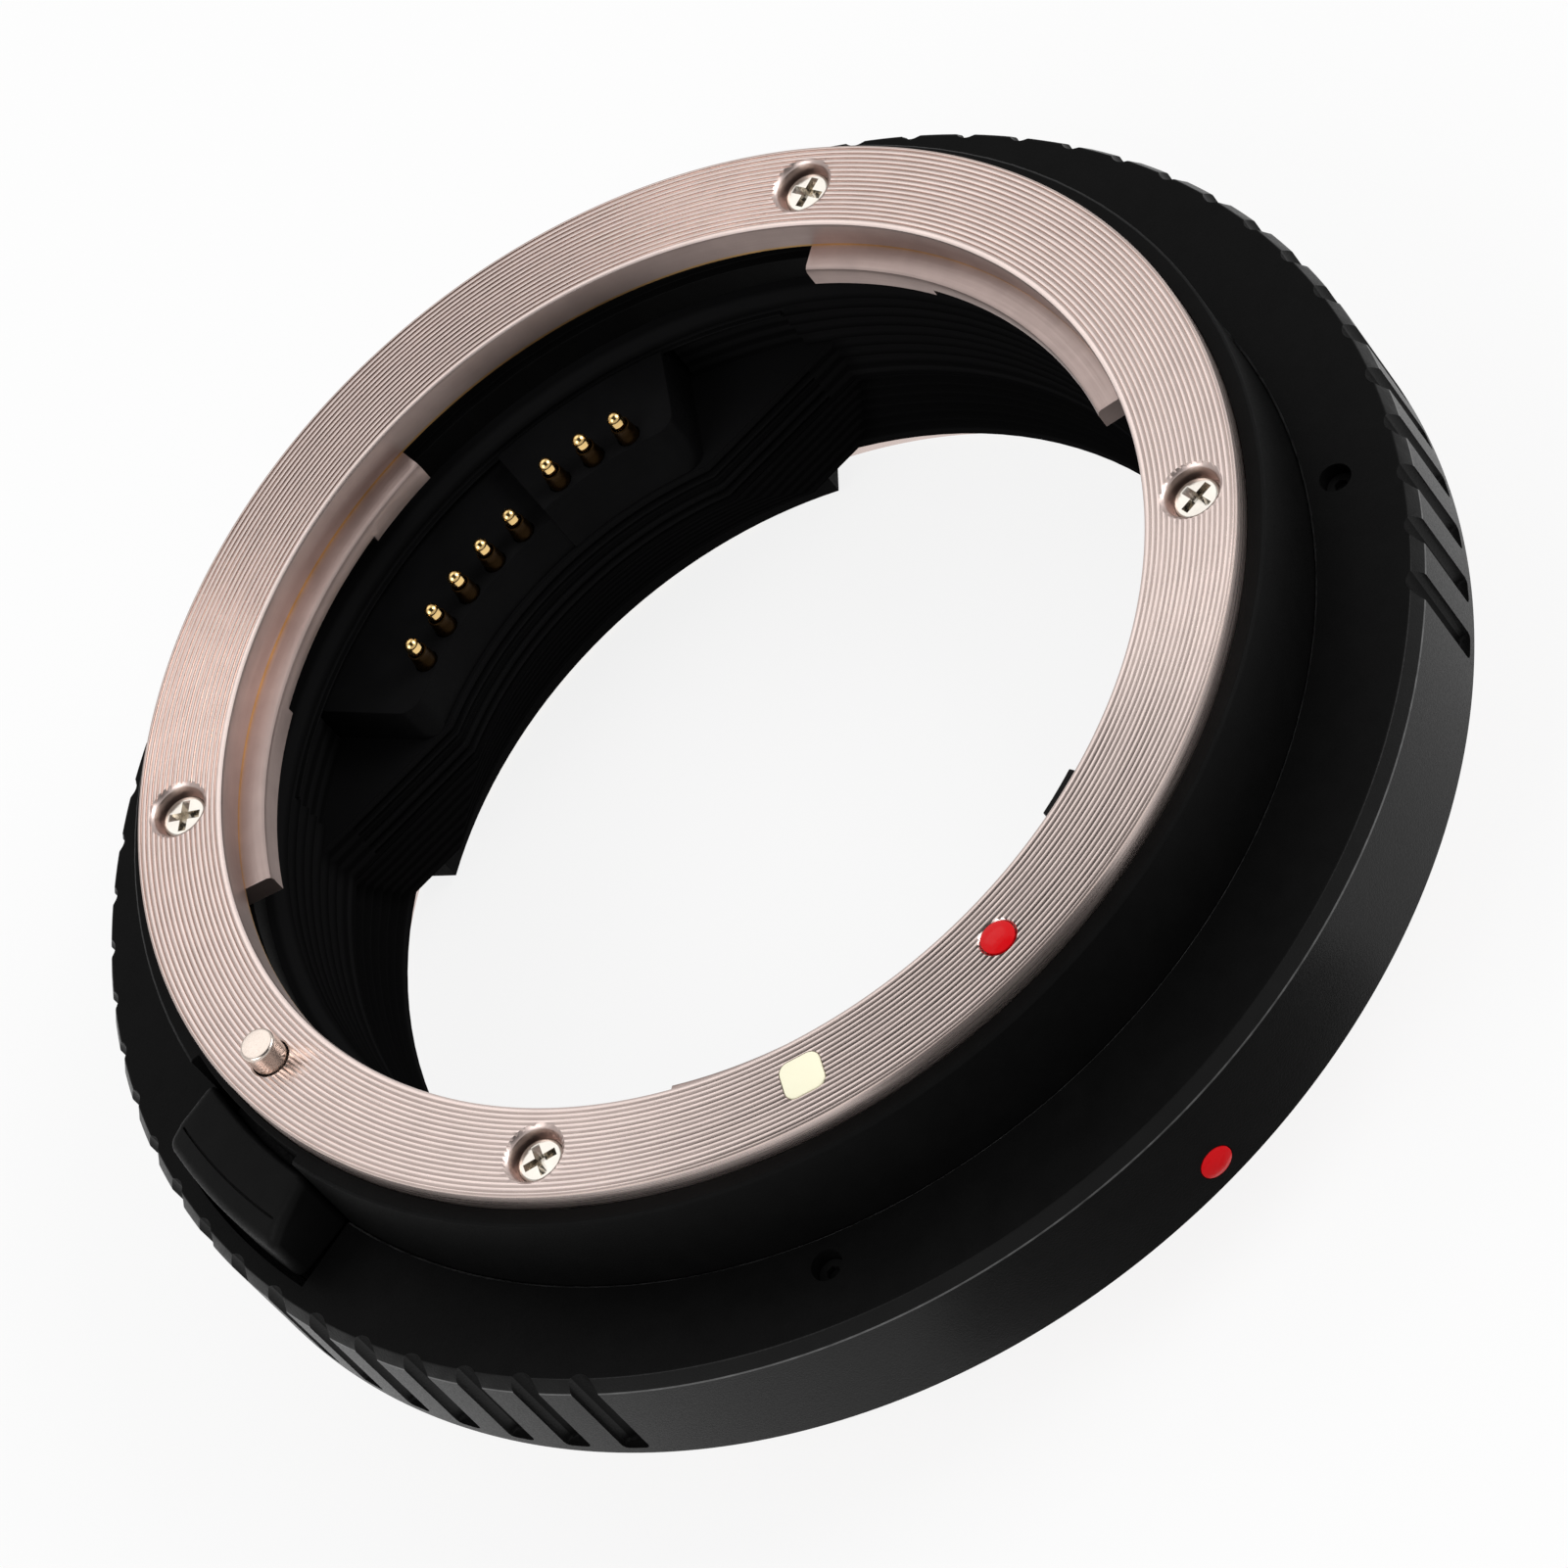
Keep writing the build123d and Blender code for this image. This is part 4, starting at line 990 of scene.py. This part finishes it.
    def part(self, middle: Vector) -> BandPart:
        """Tells which part of the shell a face belongs to.

        Args:
            middle: The middle of the face, in millimetres.

        Returns:
            Its part of the shell.
        """
        reach = math.hypot(middle.x, middle.y)
        # Thin strips along the band's top edge and round the neck hole take the lighter black: a painted
        # glint
        side_edge = abs(middle.z - self.side_top) < 0.06 and reach > self.outer - 0.06
        inner_edge = reach < self.inner + 0.12 and middle.z > self.top - 0.11
        if side_edge or inner_edge:
            return BandPart.EDGE
        band = reach > self.edge_radius - 0.02 or middle.z < self.foot + 0.001
        return BandPart.BAND if band else BandPart.SHOULDER

    def caps(self) -> None:
        """Turns the shoulder's cap screws and cuts their sockets."""
        bm = bmesh.new()
        sockets = bmesh.new()
        for angle in self.screw_angles:
            place = polar(self.screw_circle, angle)
            turned(bm, [
                *rounded_rim(self.cap_radius, self.cap_top, 0.1), (self.cap_radius, self.cap_seat),
                *thread(self.cap_shank, self.cap_end, self.cap_seat, self.cap_pitch),
            ], place)
            drilled(sockets, [
                (self.socket_radius, self.cap_top - self.socket_depth),
                (self.socket_radius, self.cap_top + 0.1),
            ], place, self.socket_sides)
        piece = linked("shoulder_caps", bm)
        carve(piece, sockets)
        # The caps' lighter black is painted light against the shade in their holes
        dress(piece, CAP_LIGHTENED_BLACK, "shoulder_screws")


@dataclass
class ReleaseSlide:
    """The release button and the pin that it draws back."""

    pin_radius: float = 1.0
    pin_top: float = 23.76
    pin_foot: float = 15.6
    pin_edge: float = 0.18
    pin_place: Place = (-29.7, 0.0)
    inner: float = 33.05
    outer: float = 37.1
    ledge: float = 35.8
    bottom: float = 14.1
    edge_top: float = 17.7
    ledge_top: float = 18.4
    top: float = 19.3
    half_angle: float = 8.4
    rounding: float = 0.55
    line: Place = (0.2, 0.22)
    line_inset: float = 1.0
    carriage: tuple[Place, Place, Place] = ((-30.95, 0.0), (4.9, 6.2), (15.3, 18.0))

    def build(self) -> None:
        """Builds and dresses the slide, its spring and the plug."""
        self.key()
        bm = bmesh.new()
        turned(bm, [
            *rounded_rim(self.pin_radius, self.pin_top, self.pin_edge),
            (self.pin_radius, self.pin_foot), (0.0, self.pin_foot),
        ], self.pin_place)
        dress(linked("lock_peg", bm), TURNED_STEEL, "lock_pin")
        finished("release_spring", SPRING_STEEL)
        copied("spring_plug", BLACK_OXIDE, "spring_cap", 0.05)

    def key(self) -> None:
        """Turns the key with soft edges, presses its line and adds the carriage below."""
        bm = bmesh.new()
        turned(bm, [
            (self.inner, self.bottom), (self.outer, self.bottom), (self.outer, self.edge_top),
            (self.ledge, self.ledge_top), (self.inner, self.top),
        ], start=180 - self.half_angle, sweep=2 * self.half_angle, segments=12)
        piece = linked("release_key", bm)
        soft = piece.modifiers.new("soft", "BEVEL")
        soft.width = self.rounding * MM
        soft.segments = 4
        soft.limit_method = "ANGLE"
        soft.angle_limit = math.radians(20)
        reshape(piece, worked(piece))
        width, depth = self.line
        cutter = bmesh.new()
        low, high = self.ledge_top - depth, self.ledge_top + 1
        turned(
            cutter,
            [
                (self.ledge - width / 2, high), (self.ledge - width / 4, low),
                (self.ledge + width / 4, low), (self.ledge + width, high),
            ],
            start=180 + self.line_inset - self.half_angle,
            sweep=2 * self.half_angle - 2 * self.line_inset, segments=16,
        )
        carve(piece, cutter)
        eased(piece)
        dress(piece, BUTTON_BLACK, "release_button")
        bm = bmesh.new()
        place, size, heights = self.carriage
        block(bm, place, size, heights, corner=0.3, edge=0.15)
        base = linked("release_carriage", bm)
        bm = bmesh.new()
        drilled(
            bm, [(self.pin_radius, self.pin_foot), (self.pin_radius, heights[1] + 0.5)], self.pin_place
        )
        carve(base, bm)
        dress(base, BUTTON_BLACK, "release_button")


@dataclass
class LightPath:
    """The ribbed tube that the light goes through."""

    radius: float = 26.3
    recess_start: float = 45.0
    recess_end: float = 135.0
    recess_top: float = 15.7
    line: float = 0.12
    line_edge: float = 0.03
    line_stand: float = 0.06
    line_hold: float = 0.3

    def build(self) -> None:
        """Builds and dresses both baffles and the fine rim round the contact recess."""
        copied("front_baffle", MATT_BLACK_RIB_SHADE, "front_ribs")
        copied("rear_baffle", MATT_BLACK_RIB_SHADE, "rear_ribs")
        bm = bmesh.new()
        inner, outer = self.radius - self.line_stand, self.radius + self.line_hold
        sweep = self.recess_end - self.recess_start
        low, edge = self.recess_top - self.line, self.line_edge
        high = low + self.line
        turned(bm, [
            (inner, low + edge), (inner + edge, low), (outer, low), (outer, high),
            (inner + edge, high), (inner, high - edge),
        ], start=self.recess_start, sweep=sweep, segments=72)
        piece = linked("recess_rim", bm)
        piece.data.materials.append(SATIN_BLACK.material())
        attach(piece, "housing")


@dataclass
class ContactSet:
    """The block with its eight sprung contacts."""

    circle: float = 21.25
    pitch: float = 6.1
    low_start: float = 89.0
    low_count: int = 5
    high_start: float = 67.8
    high_count: int = 3
    high_rise: float = 1.07
    tip: float = 17.25
    tip_radius: float = 0.43
    tip_rise: float = 0.34
    head: float = 0.72
    waist_radius: float = 0.36
    collar_radius: float = 0.49
    collar_drop: float = 0.37
    collar_height: float = 0.9
    sleeve_top: float = 15.8
    sleeve_bottom: float = 12.1
    sleeve_lip: float = 0.5
    sleeve_radius: float = 0.6
    sleeve_mouth: float = 0.45
    sleeve_bore: float = 0.52
    sleeve_floor: float = 0.4
    lip_radius: float = 0.56
    tail_radius: float = 0.2
    tail_end: float = 10.85

    def places(self) -> list[tuple[Place, float]]:
        """Where each contact stands and how far it is raised, in the order of its nodes."""
        rows = (
            (self.low_start, self.low_count, 0.0), (self.high_start, self.high_count, self.high_rise),
        )
        return [
            (polar(self.circle, start + i * self.pitch), rise)
            for start, count, rise in rows for i in range(count)
        ]

    def pin(self, rise: float) -> Outline:
        """The outline of a contact pin: its domed head, its waist and the collar that keeps it in.

        Args:
            rise: How far this contact is raised, in millimetres.

        Returns:
            The points from the tip down to the axis.
        """
        waist = self.tip + rise - self.head
        collar = self.sleeve_top + rise - self.collar_drop
        foot = collar - self.collar_height
        head = dome(self.tip_radius, self.tip_rise, self.tip + rise - self.tip_rise, waist, 12)
        return [
            *head[:-1], (self.waist_radius, waist - 0.1), (self.waist_radius, collar),
            (self.collar_radius, collar), (self.collar_radius, foot), (0.0, foot),
        ]

    def tube(self, top: float) -> Outline:
        """The outline of a contact tube, with its lip, its bore and the tail below.

        Args:
            top: The height of the tube under its lip, in millimetres.

        Returns:
            The closed outline.
        """
        lip, floor, stop = top + self.sleeve_lip, self.sleeve_bottom + self.sleeve_floor, top - 0.35
        return [
            (self.sleeve_mouth, lip - 0.06), (0.5, lip), (0.52, lip), (self.lip_radius, lip - 0.06),
            (self.lip_radius, top), (self.sleeve_radius, top - 0.08),
            (self.sleeve_radius, self.sleeve_bottom), (self.tail_radius, self.sleeve_bottom),
            (self.tail_radius, self.tail_end), (0.0, self.tail_end), (0.0, floor),
            (self.sleeve_bore, floor), (self.sleeve_bore, stop), (self.sleeve_mouth, stop),
        ]

    def build(self) -> None:
        """Builds and dresses the block, its contacts and what holds them."""
        copied("contact_block", SATIN_BLACK, "contact_bar", 0.1)
        sleeves = bmesh.new()
        for number, (place, rise) in enumerate(self.places(), 1):
            top = self.sleeve_top + rise
            pin = bmesh.new()
            turned(pin, self.pin(rise), place, segments=40)
            dress(linked(f"contact_pin_{number}", pin), GOLD_PLATING, f"contact_plunger_{number}")
            finished(f"contact_spring_{number}", SPRING_STEEL)
            turned(sleeves, self.tube(top), place, segments=32)
        # The tubes' near-black brass is painted shade inside the block
        dress(linked("contact_tubes", sleeves), SHADED_BRASS, "contact_sleeves")
        copied("contact_board", GREEN_LACQUER, "contact_card")
        copied("block_screws", BRIGHT_NICKEL, "bar_screws")


@dataclass
class Electronics:
    """The control board and its ribbons."""

    chip_edge: float = 0.05

    def build(self) -> None:
        """Builds and dresses the board, its parts, its screws and the ribbons."""
        copied("control_board", GREEN_LACQUER, "control_card")
        copied("board_screws", BRIGHT_NICKEL, "card_screws")
        copied("board_components", CHIP_BLACK, "chips", self.chip_edge)
        for end in ("front", "rear"):
            copied(f"{end}_flex", AMBER_FILM, f"{end}_ribbon")


@dataclass
class CameraSide:
    """The bayonet that goes into the camera."""

    bore: float = 28.0
    wall: float = 30.7
    flange: float = 36.6
    face: float = 5.0
    back: float = 6.4
    groove_first: float = 31.3
    groove_pitch: float = 0.32
    groove_count: int = 15
    groove_half: float = 0.06
    groove_depth: float = 0.05
    claw_radius: float = 32.3
    claw_top: float = 1.8
    claw_angles: tuple[float, ...] = (90.0, 210.0, 330.0)
    claw_span: float = 58.0
    screw_circle: float = 33.9
    screw_angles: tuple[float, ...] = (45.0, 135.0, 225.0, 315.0)
    head_radius: float = 1.4
    head_face: float = 5.05
    bore_radius: float = 1.5
    bore_floor: float = 0.8
    shank_radius: float = 0.75
    shank_start: float = 5.7
    shank_end: float = 8.6
    lock_radius: float = 1.7
    lock_mouth: float = 1.85
    cut_foot: float = 4.5
    cut_top: float = 6.6

    def build(self) -> None:
        """Builds and dresses the camera ring, its screws and its contacts."""
        self.ring()
        self.screws()
        copied("rear_contact_block", SATIN_BLACK, "camera_contact_bar", 0.1)
        copied("rear_contact_pads", GOLD_PLATING, "camera_contact_pads", 0.02)
        copied("rear_block_screws", BRIGHT_NICKEL, "camera_bar_screws")

    def ring(self) -> None:
        """Turns the camera ring, adds its claws and cuts its holes."""
        bm = bmesh.new()
        grooves: Outline = []
        for number in range(self.groove_count):
            middle = self.groove_first + number * self.groove_pitch
            grooves += [
                (middle - self.groove_half, self.face), (middle + 0.05, self.face + self.groove_depth),
                (middle + self.groove_half, self.face),
            ]
        turned(bm, [
            (self.bore, 0.2), (self.bore + 0.2, 0.0), (self.wall - 0.25, 0.0), (self.wall, 0.25),
            (self.wall, self.face), *grooves, (self.flange - 0.15, self.face),
            (self.flange, self.face + 0.15), (self.flange, self.back), (self.bore, self.back),
        ], segments=300)
        piece = linked("camera_ring", bm)
        claws = bmesh.new()
        root = self.wall - 0.2
        for angle in self.claw_angles:
            turned(claws, [
                (root, 0.21), (self.claw_radius - 0.3, 0.21), (self.claw_radius - 0.08, 0.29),
                (self.claw_radius, 0.51), (self.claw_radius, self.claw_top), (root, self.claw_top),
            ], start=angle - self.claw_span / 2, sweep=self.claw_span, segments=64)
        holes = bmesh.new()
        for angle in self.screw_angles:
            drilled(holes, [
                (self.bore_radius, self.cut_foot), (self.bore_radius, self.face), (0.86, 5.64),
                (self.bore_floor, 5.66), (self.bore_floor, self.cut_top),
            ], polar(self.screw_circle, angle))
        drilled(holes, [
            (self.lock_mouth, self.cut_foot), (self.lock_mouth, 4.99),
            (self.lock_radius, 5.15), (self.lock_radius, self.cut_top),
        ], polar(self.screw_circle, 0))
        carve(piece, holes)
        carve(piece, claws, join=True)
        eased(piece)
        dress(piece, CHAMPAGNE_PLATING, "rear_mount_ring")

    def screws(self) -> None:
        """Turns the four countersunk screws and cuts their cross recesses."""
        places = [polar(self.screw_circle, angle) for angle in self.screw_angles]
        bm = bmesh.new()
        shaft = thread(self.shank_radius, -self.shank_end, -self.shank_start)
        for place in places:
            turned(bm, [
                (0.0, self.head_face), (self.head_radius - 0.05, self.head_face), (self.head_radius, 5.09),
                *[(radius, -z) for radius, z in shaft],
            ], place)
        piece = linked("camera_ring_screws", bm)
        for cutter in cross_cutters(places, 5.0, 5.47):
            carve(piece, cutter)
        dress(piece, BRIGHT_NICKEL, "rear_mount_screws")


@dataclass
class Lamp:
    """One soft box."""

    name: str
    place: tuple[float, float, float]
    size: tuple[float, float]
    power: float
    aim: tuple[float, float, float] = (0.0, 0.0, 0.015)

    def build(self) -> None:
        """Hangs the soft box and turns it to the object."""
        data = bpy.data.lights.new(self.name, "AREA")
        data.shape = "RECTANGLE"
        data.size, data.size_y = self.size
        data.energy = self.power
        lamp = bpy.data.objects.new(self.name, data)
        bpy.context.scene.collection.objects.link(lamp)
        lamp.location = self.place
        way = Vector(self.aim) - Vector(self.place)
        lamp.rotation_euler = way.to_track_quat("-Z", "Y").to_euler()


@dataclass
class Card:
    """A dark card that keeps the light of one side out of the reflections."""

    name: str
    low: Place
    high: Place
    height: float
    tone: float

    def build(self) -> None:
        """Hangs the card so that only reflections show it."""
        bm = bmesh.new()
        left, front = self.low
        right, back = self.high
        corners = ((left, front), (right, front), (right, back), (left, back))
        bm.faces.new([bm.verts.new((*corner, self.height)) for corner in corners])
        card = linked(self.name, bm)
        paper = bpy.data.materials.new(self.name)
        paper.use_nodes = True
        shader = paper.node_tree.nodes["Principled BSDF"]
        shader.inputs["Base Color"].default_value = (self.tone, self.tone, self.tone, 1)
        shader.inputs["Roughness"].default_value = 0.9
        card.data.materials.append(paper)
        card.visible_camera = False
        card.visible_diffuse = False
        card.visible_shadow = False


@dataclass
class Studio:
    """The floor, the world, the soft boxes and the camera."""

    lens: float = 186.516
    sensor: float = 36.0
    eye: tuple[float, float, float] = (-0.0296464, -0.2929916, 0.3280783)
    aim: tuple[float, float, float] = (-0.0012695, -0.0121792, 0.0223)
    roll: float = 40.98
    floor_size: float = 4.0
    floor_tone: float = 0.8
    floor_glow: float = 0.85
    sky: float = 0.62
    lamps: list[Lamp] = field(default_factory=lambda: [
        Lamp("key_box", (0.46, -0.13, 0.40), (0.35, 0.35), 1.75),
        Lamp("fill_box", (-0.44, -0.13, 0.42), (0.35, 0.35), 1.15),
        Lamp("back_box", (0.03, 0.38, 0.47), (0.45, 0.35), 0.42),
    ])
    cards: list[Card] = field(default_factory=lambda: [
        Card("card_above", (-0.30, -0.75), (0.30, 0.12), 0.62, 0.01),
        Card("card_before", (-0.022, -0.11), (0.018, -0.0405), 0.0006, 0.12),
    ])

    def build(self) -> None:
        """Sets up the whole studio."""
        scene = bpy.context.scene
        scene.view_settings.view_transform = "Standard"
        self.world()
        self.floor()
        for piece in (*self.lamps, *self.cards):
            piece.build()
        self.camera()

    def seen(self, tree: bpy.types.NodeTree) -> bpy.types.NodeSocket:
        """Adds nodes that tell a ray that sees the backdrop.

        Args:
            tree: The node tree of the floor or the world.

        Returns:
            A socket that is 1 for camera, glossy and transmission rays, and otherwise 0.
        """
        path = tree.nodes.new("ShaderNodeLightPath")
        total = path.outputs["Is Camera Ray"]
        for name in ("Is Glossy Ray", "Is Transmission Ray"):
            both = tree.nodes.new("ShaderNodeMath")
            both.operation = "ADD"
            both.use_clamp = True
            tree.links.new(total, both.inputs[0])
            tree.links.new(path.outputs[name], both.inputs[1])
            total = both.outputs["Value"]
        return total

    def world(self) -> None:
        """Makes a sky that is white to the camera and dim as a light."""
        world = bpy.data.worlds.new("white_room")
        bpy.context.scene.world = world
        world.use_nodes = True
        tree = world.node_tree
        tree.nodes.clear()
        dim = tree.nodes.new("ShaderNodeBackground")
        dim.inputs["Color"].default_value = (1, 1, 1, 1)
        dim.inputs["Strength"].default_value = self.sky
        white = tree.nodes.new("ShaderNodeBackground")
        white.inputs["Color"].default_value = (1, 1, 1, 1)
        white.inputs["Strength"].default_value = 1.0
        mix = tree.nodes.new("ShaderNodeMixShader")
        out = tree.nodes.new("ShaderNodeOutputWorld")
        path = tree.nodes.new("ShaderNodeLightPath")
        tree.links.new(path.outputs["Is Camera Ray"], mix.inputs["Fac"])
        tree.links.new(dim.outputs[0], mix.inputs[1])
        tree.links.new(white.outputs[0], mix.inputs[2])
        tree.links.new(mix.outputs[0], out.inputs["Surface"])

    def floor(self) -> None:
        """Lays the pale floor, which is white to the camera and keeps the shadow."""
        bm = bmesh.new()
        bmesh.ops.create_grid(bm, x_segments=8, y_segments=8, size=self.floor_size / 2)
        ground = linked("studio_floor", bm)
        paint = bpy.data.materials.new("floor_paint")
        paint.use_nodes = True
        tree = paint.node_tree
        tree.nodes.clear()
        diffuse = tree.nodes.new("ShaderNodeBsdfDiffuse")
        diffuse.inputs["Color"].default_value = (*[self.floor_tone] * 3, 1)
        glow = tree.nodes.new("ShaderNodeEmission")
        glow.inputs["Color"].default_value = (1, 1, 1, 1)
        glow.inputs["Strength"].default_value = 1.0
        mix = tree.nodes.new("ShaderNodeMixShader")
        out = tree.nodes.new("ShaderNodeOutputMaterial")
        share = tree.nodes.new("ShaderNodeMath")
        share.operation = "MULTIPLY"
        share.inputs[1].default_value = self.floor_glow
        tree.links.new(self.seen(tree), share.inputs[0])
        tree.links.new(share.outputs["Value"], mix.inputs["Fac"])
        tree.links.new(diffuse.outputs[0], mix.inputs[1])
        tree.links.new(glow.outputs[0], mix.inputs[2])
        tree.links.new(mix.outputs[0], out.inputs["Surface"])
        ground.data.materials.append(paint)

    def camera(self) -> None:
        """Places the camera at the photograph's angle."""
        data = bpy.data.cameras.new("portrait")
        data.lens = self.lens
        data.sensor_width = self.sensor
        data.clip_start = 0.01
        data.clip_end = 20
        eye, aim = Vector(self.eye), Vector(self.aim)
        turn = (aim - eye).to_track_quat("-Z", "Y").to_matrix().to_4x4()
        camera = bpy.data.objects.new("portrait", data)
        bpy.context.scene.collection.objects.link(camera)
        camera.matrix_world = (
            Matrix.Translation(eye) @ turn @ Matrix.Rotation(math.radians(-self.roll), 4, "Z")
        )
        bpy.context.scene.camera = camera


def main() -> None:
    """Builds the adapter piece by piece, then the studio round it."""
    logging.basicConfig(level=logging.INFO, format="%(name)s: %(message)s")
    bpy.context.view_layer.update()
    for group in (
        MountFace(), Neck(), GripBand(), ReleaseSlide(), LightPath(), ContactSet(), Electronics(),
        CameraSide(), Studio(),
    ):
        group.build()
        log.info("%s is built", type(group).__name__)
    bpy.context.view_layer.update()


if __name__ == "__main__":
    main()
